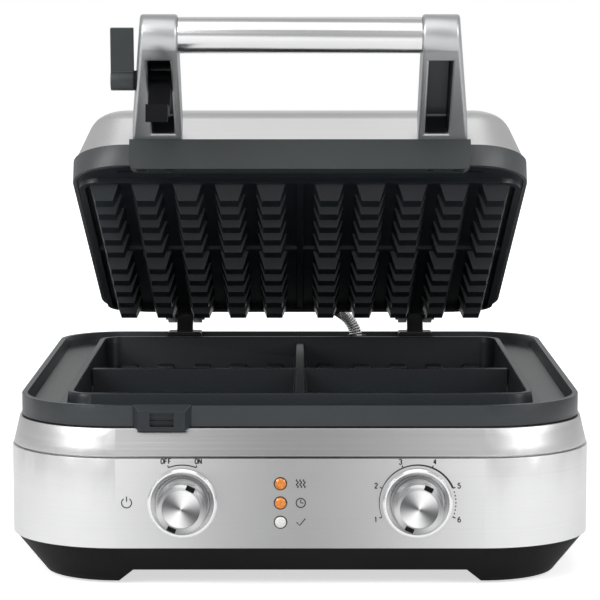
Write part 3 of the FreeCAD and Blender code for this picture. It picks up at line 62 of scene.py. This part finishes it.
LENS_MM = 156.2
PIVOT = (0.0, 0.169336, 0.1088)
LID_ANGLE = math.radians(23.2)
ARM_ROOT = (-0.139064, 0.1133)
ARM_TIP = (-0.205877, 0.13631)
ARM_BACK = (-0.132514, 0.128)
ARM_BACK_TIP = (-0.198251, 0.15609)
# The handle arms' channel, where their painted shade lies
CHANNEL_X = 0.072
CHANNEL_HALF = 0.006
CHANNEL_SPARE = 0.0002
CHANNEL_FRONT = 0.0006
CHANNEL_BACK = 0.0012
CHANNEL_END = 0.0085
# How far from x = 0 the painted dark reflection on the panel's metal reaches
PAINTED_REFLECTION_REACH = 0.125

# The printed panel: angles clockwise from the top, glyph sizes as shares of the legend's height
DIAL_TURNS = np.linspace(-112, 112, 6)
SWITCH_TURNS = (-21, 21)
SWITCH_TEXT = (0.0084, 0.0220)
GLYPH_PITCH = 0.75
GLYPH_MARGIN = 0.1
SWEEP_END = 67
SWEEP_WIDTHS = (0.0003, 0.0011)
DOT_TURNS = np.arange(72, 112, 5.5)
DOT_LENGTH = 2.6
STEP_LENGTH = 0.0014
BRACKET_LENGTH = 0.0012
POWER_X = -0.0905
POWER_RADIUS = 0.0026
POWER_LINE = (0.0006, 0.0034)
ICON_X = 0.0004
WAVE_HALF = 0.0022
WAVE_SWING = 0.0005
WAVE_RATE = 2800
WAVE_PITCH = 0.0018
CLOCK_RADIUS = 0.0024

# The lamps' rims
RIM_TUBE = 0.00035
RIM_GAP = 0.0003
RIM_DEPTH = 0.6
RIM_AROUND = 48
RIM_SECTION = 12

# The lead conduit, its lid end as the closed lid holds it
CONDUIT_HEAD = (0.021, 0.139836, 0.10705)
CONDUIT_FOOT = (0.036, 0.154886, 0.0918)
CONDUIT_REACH = 0.017
CONDUIT_PULL = 1.15
CONDUIT_RADIUS = 0.00372
CONDUIT_RIB = 0.00024
CONDUIT_WIND = 0.0016
CONDUIT_RINGS = 400
CONDUIT_SIDES = 32

# The studio
FLOOR_HALF = 6.0
FLOOR_NEAR = 0.3
FLOOR_FAR = 1.6
FLOOR_NEAR_LIFT = 0.64
WORLD_GREY = 0.33

# How much of the white backdrop shows in mirror reflections
MIRROR_SHARE = 0.3


class Graph:
    """A material's node tree, built one node at a time."""

    def __init__(self, name):
        self.material = bpy.data.materials.new(name)
        self.material.use_nodes = True
        self.tree = self.material.node_tree
        self.shader = self.tree.nodes["Principled BSDF"]

    def add(self, kind, sockets=None, **settings):
        """A new node with its settings, and its sockets set or linked by name or number."""
        node = self.tree.nodes.new("ShaderNode" + kind)
        for key, value in settings.items():
            setattr(node, key, value)
        for key, value in (sockets or {}).items():
            self.put(node.inputs[key], value)
        return node

    def put(self, socket, value):
        if isinstance(value, bpy.types.NodeSocket):
            self.tree.links.new(value, socket)
        else:
            socket.default_value = value

    def set(self, **sockets):
        """Values or links on the shader's own sockets; underscores stand for spaces."""
        for key, value in sockets.items():
            self.put(self.shader.inputs[key.replace("_", " ")], value)

    def place(self, scale):
        """Object coordinates, stretched by a scale along each axis."""
        coords = self.add("TexCoord")
        return self.add("Mapping", {"Vector": coords.outputs["Object"], "Scale": scale}).outputs[0]

    def noise(self, scale, size=1.0, detail=3.0):
        sockets = {"Vector": self.place(scale), "Scale": size, "Detail": detail}
        return self.add("TexNoise", sockets).outputs["Fac"]

    def span(self, value, low, high):
        """A grey value from about the middle of its range, spread from low to high."""
        sockets = {"Value": value, "From Min": 0.3, "From Max": 0.7, "To Min": low, "To Max": high}
        return self.add("MapRange", sockets).outputs[0]

    def tint(self, value, dark, light):
        """A colour between two, by a grey value from about the middle of its range."""
        factor = self.span(value, 0.0, 1.0)
        mix = self.add("Mix", {0: factor, 6: (*dark, 1.0), 7: (*light, 1.0)}, data_type="RGBA")
        return mix.outputs[2]

    def bump(self, height, distance, strength=1.0):
        sockets = {"Height": height, "Distance": distance, "Strength": strength}
        return self.add("Bump", sockets).outputs[0]


def brushed(name, scale, dark, light, rough, depth=0.00002, middle=1.0):
    """Metal with fine straight brush lines and a slow change of tone, and, where asked, a painted dark
    reflection that darkens it towards x = 0.
    """
    graph = Graph(name)
    lines = graph.noise(scale, 1.0, 6.0)
    cloud = graph.noise((9.0, 9.0, 9.0))
    both = graph.add("Math", {0: lines, 1: cloud}, operation="ADD")
    half = graph.add("Math", {0: both.outputs[0], 1: 0.5}, operation="MULTIPLY").outputs[0]
    colour = graph.tint(half, dark, light)
    # Painted reflection: the colour darkens towards x = 0, standing in for the dark reflection across the
    # middle of the panel
    if middle < 1.0:
        across = graph.add("SeparateXYZ", {0: graph.add("TexCoord").outputs["Object"]}).outputs["X"]
        away = graph.add("Math", {0: across}, operation="ABSOLUTE").outputs[0]
        sockets = {"Value": away, "From Max": PAINTED_REFLECTION_REACH, "To Min": middle}
        share = graph.add("MapRange", sockets, interpolation_type="SMOOTHSTEP").outputs[0]
        black = (0.0, 0.0, 0.0, 1.0)
        colour = graph.add("Mix", {0: share, 6: black, 7: colour}, data_type="RGBA").outputs[2]
    graph.set(
        Base_Color=colour,
        Roughness=graph.span(lines, rough[0], rough[1]),
        Metallic=1.0,
        Anisotropic=0.45,
        Normal=graph.bump(lines, depth, 0.35),
    )
    return graph.material


def grained(name, dark, light, rough, grain, depth, coat=0.0, sheen=0.5):
    """A cast, coated or moulded surface: fine grain in bump, roughness and colour, and slow tone."""
    graph = Graph(name)
    fine = graph.noise((grain, grain, grain), 1.0, 4.0)
    slow = graph.noise((14.0, 14.0, 14.0))
    both = graph.add("Math", {0: fine, 1: slow}, operation="ADD").outputs[0]
    half = graph.add("Math", {0: both, 1: 0.5}, operation="MULTIPLY").outputs[0]
    graph.set(
        Base_Color=graph.tint(half, dark, light),
        Roughness=graph.span(fine, rough[0], rough[1]),
        Coat_Weight=coat,
        Coat_Roughness=0.25,
        Specular_IOR_Level=sheen,
        Normal=graph.bump(fine, depth),
    )
    return graph.material


def turned_lid(point):
    """A point of the closed lid, moved to where the opened lid holds it."""
    dy = point[1] - PIVOT[1]
    dz = point[2] - PIVOT[2]
    y = PIVOT[1] + dy * math.cos(LID_ANGLE) + dz * math.sin(LID_ANGLE)
    z = PIVOT[2] - dy * math.sin(LID_ANGLE) + dz * math.cos(LID_ANGLE)
    return np.array((point[0], y, z))


def silver_arm():
    """Satin cast metal, with painted shade inside the channel that runs up the front of each handle arm.

    The channel is the space between two planes beside it, above the arm's front plane, below its back
    plane and short of its end: each side of it is one comparison, and their product is the painted shade's
    share.
    """
    graph = Graph("silver_cast")
    fine = graph.noise((2400.0, 2400.0, 2400.0), 1.0, 4.0)
    slow = graph.noise((14.0, 14.0, 14.0))
    coords = graph.add("TexCoord").outputs["Object"]
    root = turned_lid((0.0, *ARM_ROOT))
    back = turned_lid((0.0, *ARM_BACK))

    def beyond(start, direction, limit):
        """1 where a point lies further than a limit from a start, along a direction."""
        place = graph.add("VectorMath", {0: coords, 1: tuple(start)}, operation="SUBTRACT").outputs[0]
        sockets = {0: place, 1: tuple(direction)}
        reach = graph.add("VectorMath", sockets, operation="DOT_PRODUCT").outputs["Value"]
        return graph.add("Math", {0: reach, 1: limit}, operation="GREATER_THAN").outputs[0]

    along = turned_lid((0.0, *ARM_TIP)) - root
    length = np.linalg.norm(along)
    along = along / length
    inward = np.array((0.0, along[2], -along[1]))
    rear = turned_lid((0.0, *ARM_BACK_TIP)) - back
    outward = np.array((0.0, -rear[2], rear[1])) / np.linalg.norm(rear)
    across = graph.add("SeparateXYZ", {0: coords}).outputs["X"]
    away = graph.add("Math", {0: across}, operation="ABSOLUTE").outputs[0]
    sockets = {0: away, 1: CHANNEL_X, 2: CHANNEL_HALF + CHANNEL_SPARE}
    painted_shade_mask = graph.add("Math", sockets, operation="COMPARE").outputs[0]
    for limit in (
        beyond(root, inward, CHANNEL_FRONT),
        beyond(back, outward, CHANNEL_BACK),
        beyond(root + along * length, -along, CHANNEL_END),
    ):
        painted_shade_mask = graph.add("Math", {0: painted_shade_mask, 1: limit}, operation="MULTIPLY").outputs[0]
    # Painted shade: inside the channel the colour turns dark, standing in for the shade that falls there
    satin = graph.tint(slow, (0.44, 0.45, 0.46), (0.54, 0.55, 0.56))
    painted_shade_colour = (0.10, 0.105, 0.11, 1.0)
    colour = graph.add("Mix", {0: painted_shade_mask, 6: satin, 7: painted_shade_colour}, data_type="RGBA").outputs[2]
    graph.set(
        Base_Color=colour,
        Metallic=1.0,
        Roughness=graph.span(fine, 0.36, 0.46),
        Normal=graph.bump(fine, 0.00002),
    )
    return graph.material


def spun(name, centre_x, dark, light, waves):
    """Metal spun about a control's axis: painted highlights and painted shade in fans by angle, fine rings by
    radius.
    """
    graph = Graph(name)
    coords = graph.add("TexCoord").outputs["Object"]
    local = graph.add("VectorMath", {0: coords, 1: (centre_x, 0.0, KNOB_Z)}, operation="SUBTRACT")
    parts = graph.add("SeparateXYZ", {0: local.outputs[0]}).outputs
    angle = graph.add("Math", {0: parts["X"], 1: parts["Z"]}, operation="ARCTAN2").outputs[0]
    # Painted highlights: light and dark fans by angle stand in for the reflections on the spun metal
    turns = graph.add("Math", {0: angle, 1: waves, 2: 0.7}, operation="MULTIPLY_ADD").outputs[0]
    painted_highlight_fan = graph.add("Math", {0: turns}, operation="SINE").outputs[0]
    along = graph.add("Math", {0: parts["X"], 1: parts["X"]}, operation="MULTIPLY").outputs[0]
    square = graph.add("Math", {0: parts["Z"], 1: parts["Z"], 2: along}, operation="MULTIPLY_ADD").outputs[0]
    radius = graph.add("Math", {0: square}, operation="SQRT").outputs[0]
    place = graph.add("CombineXYZ", {0: radius, 1: 0.0, 2: 0.0}).outputs[0]
    rings = graph.add("TexNoise", {"Vector": place, "Scale": 9000.0, "Detail": 2.0}).outputs["Fac"]
    tone = graph.add("MapRange", {"Value": painted_highlight_fan, "From Min": -1.0, "From Max": 1.0}).outputs[0]
    mix = graph.add("Mix", {0: tone, 6: (*dark, 1.0), 7: (*light, 1.0)}, data_type="RGBA").outputs[2]
    graph.set(
        Base_Color=mix,
        Metallic=1.0,
        Roughness=graph.span(rings, 0.22, 0.36),
        Normal=graph.bump(rings, 0.00002, 0.4),
    )
    return graph.material


def lens(name, deep, bright, glow):
    """Tinted lamp lens: a faint moulded ripple in its colour and bump, and a little glow of its own."""
    graph = Graph(name)
    ripple = graph.noise((900.0, 900.0, 900.0))
    colour = graph.tint(ripple, deep, bright)
    graph.set(
        Base_Color=colour,
        Roughness=graph.span(ripple, 0.08, 0.2),
        Coat_Weight=0.6,
        Emission_Color=colour,
        Emission_Strength=glow,
        Normal=graph.bump(ripple, 0.00003, 0.4),
    )
    return graph.material


PANEL_LINES = (3.0, 3.0, 2600.0)
SATIN = (0.36, 0.42)
# The skirt and the shoulder carry a painted dark reflection across their middle
SKIRT = brushed("brushed_skirt", PANEL_LINES, (0.73, 0.73, 0.735), (0.80, 0.80, 0.80), SATIN, middle=0.5)
SHOULDER = brushed(
    "brushed_shoulder", PANEL_LINES, (0.58, 0.58, 0.585), (0.64, 0.64, 0.64), SATIN, middle=0.58
)
DOME = brushed("brushed_dome", (3.0, 2400.0, 2400.0), (0.62, 0.62, 0.62), (0.70, 0.70, 0.70), SATIN)
POLISHED = brushed(
    "polished_steel", (2.0, 1500.0, 1500.0), (0.66, 0.66, 0.67), (0.78, 0.78, 0.78), (0.20, 0.27)
)
CHROME = brushed("bright_chrome", (700.0, 700.0, 700.0), (0.78, 0.78, 0.79), (0.88, 0.88, 0.88), (0.18, 0.26))
FIXING = brushed("plain_steel", (500.0, 500.0, 500.0), (0.42, 0.42, 0.42), (0.55, 0.55, 0.55), (0.28, 0.4))
SHEET = brushed("bright_sheet", (4.0, 700.0, 700.0), (0.68, 0.68, 0.68), (0.8, 0.8, 0.8), (0.2, 0.3))
COATED = (0.3, 0.42)
MOULDED = (0.40, 0.55)
CAST = grained(
    "coated_cast", (0.009, 0.012, 0.015), (0.016, 0.020, 0.025), COATED, 1500.0, 0.00008, sheen=0.4
)
MOAT = grained("moat_cast", (0.015, 0.019, 0.022), (0.025, 0.030, 0.034), COATED, 1500.0, 0.00008)
CAST_LIGHT = grained(
    "lid_band_cast", (0.050, 0.055, 0.059), (0.071, 0.076, 0.081), (0.36, 0.5), 2200.0, 0.00006
)
PLASTIC = grained(
    "moulded_black", (0.006, 0.006, 0.007), (0.011, 0.011, 0.012), MOULDED, 3000.0, 0.00005, sheen=0.06
)
BAR_PLASTIC = grained("moulded_bar", (0.019, 0.023, 0.024), (0.028, 0.033, 0.034), MOULDED, 2600.0, 0.00005)
BLACK_STEEL = grained("black_steel", (0.012, 0.012, 0.012), (0.022, 0.022, 0.022), COATED, 1800.0, 0.00003)
RUBBER = grained("black_rubber", (0.010, 0.010, 0.010), (0.018, 0.018, 0.018), (0.7, 0.85), 2000.0, 0.00006)
BOARD = grained(
    "green_board", (0.010, 0.065, 0.026), (0.016, 0.10, 0.04), (0.35, 0.5), 1500.0, 0.00003, coat=0.3
)
PALE = grained("pale_plastic", (0.62, 0.60, 0.55), (0.70, 0.68, 0.63), (0.45, 0.6), 2200.0, 0.00004)
INK = grained("printed_ink", (0.008, 0.008, 0.009), (0.014, 0.014, 0.015), (0.5, 0.6), 3000.0, 0.000005)
SILVER = silver_arm()
AMBER = lens("amber_lens", (0.44, 0.10, 0.001), (0.80, 0.25, 0.003), 0.12)
CLEAR = lens("clear_lens", (0.55, 0.55, 0.54), (0.74, 0.74, 0.72), 0.05)
KNOB_RING = {}
KNOB_FACE = {}
# Each knob's ring and face carry painted highlight fans
for control, sign in (("power", -1), ("browning", 1)):
    KNOB_RING[control] = spun(control + "_ring", sign * KNOB_X, (0.30, 0.30, 0.31), (0.62, 0.62, 0.62), 3.0)
    KNOB_FACE[control] = spun(control + "_face", sign * KNOB_X, (0.13, 0.13, 0.135), (0.94, 0.94, 0.94), 2.0)

LOOKS = {
    SKIRT: ["control_skirt"],
    SHOULDER: ["shoulder_shell"],
    DOME: ["lid_cover"],
    POLISHED: ["handle_bar"],
    CHROME: ["power_bezel", "browning_bezel"],
    CAST: ["lower_plate", "upper_plate", "latch_catch"],
    MOAT: ["moat_frame"],
    CAST_LIGHT: ["lid_frame"],
    PLASTIC: [
        "base_tray", "latch_lever", "base_socket", "lid_socket", "lamp_block", "power_control",
        "browning_control", "buzzer", "relay", "power_index", "browning_index",
    ],
    BAR_PLASTIC: ["front_bar", "latch_tab"],
    BLACK_STEEL: [
        "hinge_leg_left", "hinge_leg_right", "hinge_block_left", "hinge_block_right", "hinge_lug_left",
        "hinge_lug_right",
    ],
    SILVER: ["handle_arm_left", "handle_arm_right"],
    RUBBER: ["rubber_feet", "cord_gland"],
    FIXING: [
        "frame_screws", "plate_screws", "handle_screws", "hinge_pins", "latch_pin", "power_shaft",
        "browning_shaft", "lower_heater", "upper_heater", "lead_conduit",
    ],
    SHEET: ["lower_reflector", "upper_reflector", "lower_thermostat", "upper_thermostat"],
    BOARD: ["control_board", "power_board"],
    PALE: ["terminal_block", "lower_fuse", "upper_fuse"],
    AMBER: ["heating_lens", "cooking_lens"],
    CLEAR: ["ready_lens"],
    KNOB_RING["power"]: ["power_knob"],
    KNOB_RING["browning"]: ["browning_knob"],
    KNOB_FACE["power"]: ["power_disc"],
    KNOB_FACE["browning"]: ["browning_disc"],
}
for material, names in LOOKS.items():
    for name in names:
        nodes[name].data.materials.clear()
        nodes[name].data.materials.append(material)

# How far the edges of each node are rounded, in millimetres
EDGE_ROUND = {
    "lower_plate": 0.7, "upper_plate": 0.7, "moat_frame": 0.8, "base_tray": 0.6, "front_bar": 1.0,
    "handle_arm_left": 1.4, "handle_arm_right": 1.4, "latch_lever": 0.6, "latch_tab": 1.8, "latch_catch": 0.5,
    "lid_frame": 0.6, "hinge_leg_left": 0.5, "hinge_leg_right": 0.5, "hinge_lug_left": 0.6,
    "hinge_lug_right": 0.6, "control_skirt": 0.3, "shoulder_shell": 0.3, "rubber_feet": 0.4,
    "handle_bar": 0.5, "base_socket": 0.5, "lid_socket": 0.5,
}
WELD_REACH = 0.000005
FLAT_DEGREES = 0.5
SHARP_DEGREES = 28


def round_edges(name, width_mm):
    """Joins the faces of a CAD node and rounds its sharp edges by modifiers alone.

    The handle arms take their full width: a few short edges would hold it back on all the others.
    """
    obj = nodes[name]
    weld = obj.modifiers.new("join", "WELD")
    weld.merge_threshold = WELD_REACH
    plane = obj.modifiers.new("plane", "DECIMATE")
    plane.decimate_type = "DISSOLVE"
    plane.angle_limit = math.radians(FLAT_DEGREES)
    bevel = obj.modifiers.new("round", "BEVEL")
    bevel.width = width_mm / 1000
    bevel.segments = 3
    bevel.limit_method = "ANGLE"
    bevel.angle_limit = math.radians(SHARP_DEGREES)
    bevel.harden_normals = True
    bevel.use_clamp_overlap = not name.startswith("handle_arm")


for name, width_mm in EDGE_ROUND.items():
    round_edges(name, width_mm)


def mesh_piece(name, verts, faces, material, smooth=False):
    """A new mesh object from an array of points and an array of faces."""
    mesh = bpy.data.meshes.new(name)
    mesh.from_pydata(np.asarray(verts, float).tolist(), [], np.asarray(faces, int).tolist())
    mesh.materials.append(material)
    mesh.polygons.foreach_set("use_smooth", [smooth] * len(mesh.polygons))
    mesh.update()
    obj = bpy.data.objects.new(name, mesh)
    bpy.context.scene.collection.objects.link(obj)
    return obj


def grid_faces(rows, columns, wrap_rows=False, wrap_columns=False):
    """Quads over a grid of points stored row by row, wrapped round where asked."""
    down = np.arange(rows if wrap_rows else rows - 1)
    along = np.arange(columns if wrap_columns else columns - 1)
    row, column = np.meshgrid(down, along, indexing="ij")
    below = (row + 1) % rows
    right = (column + 1) % columns
    rows_of = np.stack([row, row, below, below], -1)
    columns_of = np.stack([column, right, right, column], -1)
    return (rows_of * columns + columns_of).reshape(-1, 4)


def printed(name, lines, width):
    """Flat printed strokes on the panel: a ribbon along each line of (x, z) points.

    Each point moves by half the width to both sides, square to the line's direction there.
    """
    verts = []
    faces = []
    count = 0
    for line in lines:
        points = np.asarray(line, float)
        half = np.broadcast_to(np.asarray(width, float), (len(points),)) / 2
        ahead = np.gradient(points, axis=0)
        ahead /= np.linalg.norm(ahead, axis=1, keepdims=True)
        across = np.stack([-ahead[:, 1], ahead[:, 0]], 1) * half[:, None]
        edges = np.concatenate([points - across, points + across])
        verts.append(np.insert(edges, 1, PANEL_Y - LEGEND_DEPTH, axis=1))
        faces.append(grid_faces(2, len(points)) + count)
        count += len(edges)
    obj = mesh_piece(name, np.concatenate(verts), np.concatenate(faces), INK)
    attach(obj, "base")


def arc(centre, radius, start, end, count=24):
    """(x, z) points on an arc, angles in degrees clockwise from the top as seen from the front."""
    angles = np.radians(np.linspace(start, end, count))
    return np.column_stack([centre[0] + radius * np.sin(angles), centre[1] + radius * np.cos(angles)])


def bow(x, z, half_width, half_height, start, end):
    """(x, z) points on part of an ellipse, angles in degrees clockwise from its top."""
    angles = np.radians(np.linspace(start, end, 28))
    return np.column_stack([x + half_width * np.sin(angles), z + half_height * np.cos(angles)])


# Strokes of the printed characters, for a height of one
GLYPHS = {
    "O": [bow(0.27, 0.5, 0.27, 0.5, 0, 360)],
    "F": [[(0, 0), (0, 1)], [(0, 1), (0.46, 1)], [(0, 0.53), (0.38, 0.53)]],
    "N": [[(0, 0), (0, 1)], [(0, 1), (0.5, 0)], [(0.5, 0), (0.5, 1)]],
    "1": [[(0.3, 0), (0.3, 1)], [(0.3, 1), (0.1, 0.8)]],
    "2": [bow(0.26, 0.74, 0.25, 0.26, -80, 110), [(0.495, 0.651), (0.02, 0)], [(0, 0), (0.52, 0)]],
    "3": [bow(0.24, 0.76, 0.23, 0.24, -70, 180), bow(0.25, 0.26, 0.26, 0.26, 0, 250)],
    "4": [[(0.38, 0), (0.38, 1)], [(0.38, 1), (0, 0.32)], [(0, 0.32), (0.54, 0.32)]],
    "5": [[(0.48, 1), (0.08, 1)], [(0.08, 1), (0.05, 0.55)], bow(0.25, 0.31, 0.27, 0.31, -40, 250)],
    "6": [bow(0.27, 0.3, 0.26, 0.3, 0, 360), bow(0.5, 0.35, 0.49, 0.65, -90, -5)],
}


def lettering(name, text, x, z):
    """Plain printed characters: each one's strokes, scaled to the legend's height and centred at a place."""
    lines = []
    left = -GLYPH_PITCH / 2 * len(text) + GLYPH_MARGIN
    for index, character in enumerate(text):
        for stroke in GLYPHS[character]:
            points = np.asarray(stroke, float) + (left + GLYPH_PITCH * index, -0.5)
            lines.append(points * LEGEND_HEIGHT + (x, z))
    printed(name, lines, LEGEND_STROKE)


def ticks(centre, angles, inner, outer):
    """Short lines that point away from a dial's centre, from an inner to an outer radius."""
    turns = np.radians(np.asarray(angles, float))
    away = np.column_stack([np.sin(turns), np.cos(turns)])
    return [np.stack([centre + inner * line, centre + outer * line]) for line in away]


# Dial legends
dial = np.array((KNOB_X, KNOB_Z))
switch = np.array((-KNOB_X, KNOB_Z))
lettering("legend_off", "OFF", switch[0] - SWITCH_TEXT[0], switch[1] + SWITCH_TEXT[1])
lettering("legend_on", "ON", switch[0] + SWITCH_TEXT[0], switch[1] + SWITCH_TEXT[1])
for number, place in enumerate(arc(dial, LEGEND_RADIUS, DIAL_TURNS[0], DIAL_TURNS[-1], len(DIAL_TURNS)), 1):
    lettering("legend_%d" % number, str(number), *place)
sweep = arc(dial, SCALE_RADIUS, DIAL_TURNS[0], SWEEP_END, 60)
printed("legend_sweep", [sweep], np.linspace(*SWEEP_WIDTHS, len(sweep)))
dots = [arc(dial, SCALE_RADIUS, start, start + DOT_LENGTH, 4) for start in DOT_TURNS]
printed("legend_dots", dots, FINE_STROKE)
steps = ticks(dial, DIAL_TURNS, SCALE_RADIUS, SCALE_RADIUS + STEP_LENGTH)
printed("legend_steps", steps, LEGEND_STROKE)
bracket = [arc(switch, SCALE_RADIUS, *SWITCH_TURNS)]
bracket += ticks(switch, SWITCH_TURNS, SCALE_RADIUS, SCALE_RADIUS + BRACKET_LENGTH)
printed("legend_switch", bracket, LEGEND_STROKE)
power_ring = arc((POWER_X, KNOB_Z), POWER_RADIUS, 35, 325, 40)
power_line = [(POWER_X, KNOB_Z + height) for height in POWER_LINE]
printed("legend_power", [power_ring, power_line], FINE_STROKE)

# Lamp legends: heat, clock and tick
rise = np.linspace(-WAVE_HALF, WAVE_HALF, 24)
waves = [
    np.column_stack([ICON_X + shift + WAVE_SWING * np.sin(rise * WAVE_RATE), KNOB_Z + LAMP_PITCH + rise])
    for shift in (-WAVE_PITCH, 0.0, WAVE_PITCH)
]
printed("legend_heat", waves, LEGEND_STROKE)
clock = (ICON_X, KNOB_Z)
hands = np.array([(0.0014, 0.0), (0.0, 0.0), (0.0, 0.0016)]) + clock
printed("legend_clock", [arc(clock, CLOCK_RADIUS, 0, 360, 48), hands], LEGEND_STROKE)
tick = np.array([(-0.0022, 0.0), (-0.0006, -0.0017), (0.0024, 0.0019)]) + (ICON_X, KNOB_Z - LAMP_PITCH)
printed("legend_tick", [tick], FINE_STROKE)


def lamp_rings():
    """Thin rolled rim round each lamp lens: a flattened circle turned about the lamp's axis."""
    verts = []
    faces = []
    around = np.linspace(0, 2 * math.pi, RIM_AROUND, endpoint=False)
    section = np.linspace(0, 2 * math.pi, RIM_SECTION, endpoint=False)
    for index in (-1, 0, 1):
        reach = LENS_RADIUS + RIM_GAP + RIM_TUBE * np.cos(section)
        x = LAMP_X + np.outer(np.sin(around), reach)
        z = KNOB_Z + index * LAMP_PITCH + np.outer(np.cos(around), reach)
        y = np.broadcast_to(PANEL_Y - RIM_TUBE * RIM_DEPTH * np.sin(section), x.shape)
        faces.append(grid_faces(RIM_AROUND, RIM_SECTION, True, True) + len(verts) * x.size)
        verts.append(np.stack([x, y, z], -1).reshape(-1, 3))
    obj = mesh_piece("lamp_rings", np.concatenate(verts), np.concatenate(faces), BLACK_STEEL, True)
    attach(obj, "base")


lamp_rings()


def conduit():
    """Wound metal conduit between its two sockets: circles set square to a smooth curve.

    The curve is a cubic through both ends, whose two middle control points lie straight out of the sockets.
    The circles' radius is a mean plus a sine of the distance along the curve and of the angle round it.
    """
    head = turned_lid(CONDUIT_HEAD)
    beyond = np.array(CONDUIT_HEAD) + (0.0, CONDUIT_REACH, 0.0)
    out = turned_lid(beyond) - head
    foot = np.array(CONDUIT_FOOT)
    up = np.array((0.0, 0.0, CONDUIT_REACH))
    share = np.linspace(0, 1, CONDUIT_RINGS)[:, None]
    control = [head, head + out * CONDUIT_PULL, foot + up * CONDUIT_PULL, foot]
    weights = [(1 - share) ** 3, 3 * share * (1 - share) ** 2, 3 * share**2 * (1 - share), share**3]
    path = sum(weight * point for weight, point in zip(weights, control))
    ahead = np.gradient(path, axis=0)
    ahead /= np.linalg.norm(ahead, axis=1, keepdims=True)
    sideways = np.cross(ahead, (1.0, 0.0, 0.0))
    sideways /= np.linalg.norm(sideways, axis=1, keepdims=True)
    third = np.cross(ahead, sideways)
    length = np.concatenate([[0], np.cumsum(np.linalg.norm(np.diff(path, axis=0), axis=1))])
    turns = np.linspace(0, 2 * math.pi, CONDUIT_SIDES, endpoint=False)
    wind = length[:, None] * 2 * math.pi / CONDUIT_WIND + turns[None, :]
    radius = CONDUIT_RADIUS + CONDUIT_RIB * np.sin(wind)
    ring = sideways[:, None] * np.cos(turns)[:, None] + third[:, None] * np.sin(turns)[:, None]
    verts = (path[:, None] + ring * radius[:, :, None]).reshape(-1, 3)
    faces = grid_faces(CONDUIT_RINGS, CONDUIT_SIDES, False, True)
    obj = mesh_piece("wound_conduit", verts, faces, CHROME, True)
    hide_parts("lead_conduit")
    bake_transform(obj)


conduit()

# Floor, lights and camera
floor_graph = Graph("pale_floor")
speck = floor_graph.noise((3.0, 3.0, 3.0))
rays = floor_graph.add("LightPath").outputs
sockets = {0: rays["Is Glossy Ray"], 1: MIRROR_SHARE, 2: rays["Is Camera Ray"]}
seen = floor_graph.add("Math", sockets, operation="MULTIPLY_ADD").outputs[0]
spot = floor_graph.add("TexCoord").outputs["Object"]
reach = floor_graph.add("VectorMath", {0: spot}, operation="LENGTH").outputs["Value"]
sockets = {"Value": reach, "From Min": FLOOR_NEAR, "From Max": FLOOR_FAR, "To Min": FLOOR_NEAR_LIFT}
far = floor_graph.add("MapRange", sockets).outputs[0]
lift = floor_graph.add("Math", {0: seen, 1: far}, operation="MULTIPLY").outputs[0]
floor_graph.set(
    Base_Color=floor_graph.tint(speck, (0.93, 0.93, 0.93), (0.96, 0.96, 0.96)),
    Roughness=0.9,
    Emission_Color=(1.0, 1.0, 1.0, 1.0),
    Emission_Strength=lift,
)
floor_corners = np.array([(-1, -1, 0), (1, -1, 0), (1, 1, 0), (-1, 1, 0)]) * FLOOR_HALF
floor = mesh_piece("floor", floor_corners, [(0, 1, 2, 3)], floor_graph.material)


def soft_light(name, place, aim, size, power):
    """A square area light that faces a point."""
    light = bpy.data.lights.new(name, "AREA")
    light.size = size
    light.energy = power
    obj = bpy.data.objects.new(name, light)
    obj.location = place
    direction = np.asarray(aim, float) - np.asarray(place, float)
    yaw = math.atan2(direction[0], -direction[1])
    pitch = math.atan2(math.hypot(direction[0], direction[1]), -direction[2])
    obj.rotation_euler = (pitch, 0.0, yaw + math.pi)
    bpy.context.scene.collection.objects.link(obj)


middle = (0.0, 0.0, 0.13)
soft_light("overhead", (0.0, -0.75, 1.5), middle, 1.4, 7.0)
soft_light("left_key", (-1.3, -1.3, 1.1), middle, 1.0, 21.0)
soft_light("right_fill", (1.4, -1.1, 0.9), middle, 1.0, 12.0)
soft_light("behind", (0.0, 1.6, 1.2), middle, 1.4, 2.0)

world = bpy.data.worlds.new("studio")
world.use_nodes = True
bpy.context.scene.world = world
tree = world.node_tree
tree.nodes["Background"].inputs["Color"].default_value = (WORLD_GREY, WORLD_GREY, WORLD_GREY, 1.0)
tree.nodes["Background"].inputs["Strength"].default_value = 1.0
plain = tree.nodes.new("ShaderNodeBackground")
plain.inputs["Color"].default_value = (1.0, 1.0, 1.0, 1.0)
rays = tree.nodes.new("ShaderNodeLightPath")
either = tree.nodes.new("ShaderNodeMath")
either.operation = "MULTIPLY_ADD"
either.inputs[1].default_value = MIRROR_SHARE
tree.links.new(rays.outputs["Is Glossy Ray"], either.inputs[0])
tree.links.new(rays.outputs["Is Camera Ray"], either.inputs[2])
blend = tree.nodes.new("ShaderNodeMixShader")
tree.links.new(either.outputs[0], blend.inputs[0])
tree.links.new(tree.nodes["Background"].outputs[0], blend.inputs[1])
tree.links.new(plain.outputs[0], blend.inputs[2])
tree.links.new(blend.outputs[0], tree.nodes["World Output"].inputs["Surface"])
bpy.context.scene.view_settings.view_transform = "Standard"

camera_data = bpy.data.cameras.new("camera")
camera_data.lens = LENS_MM
camera_data.sensor_width = 36.0
camera = bpy.data.objects.new("camera", camera_data)
camera.location = CAMERA
camera.rotation_euler = (math.radians(90 - CAMERA_DOWN), 0.0, 0.0)
bpy.context.scene.collection.objects.link(camera)
bpy.context.scene.camera = camera
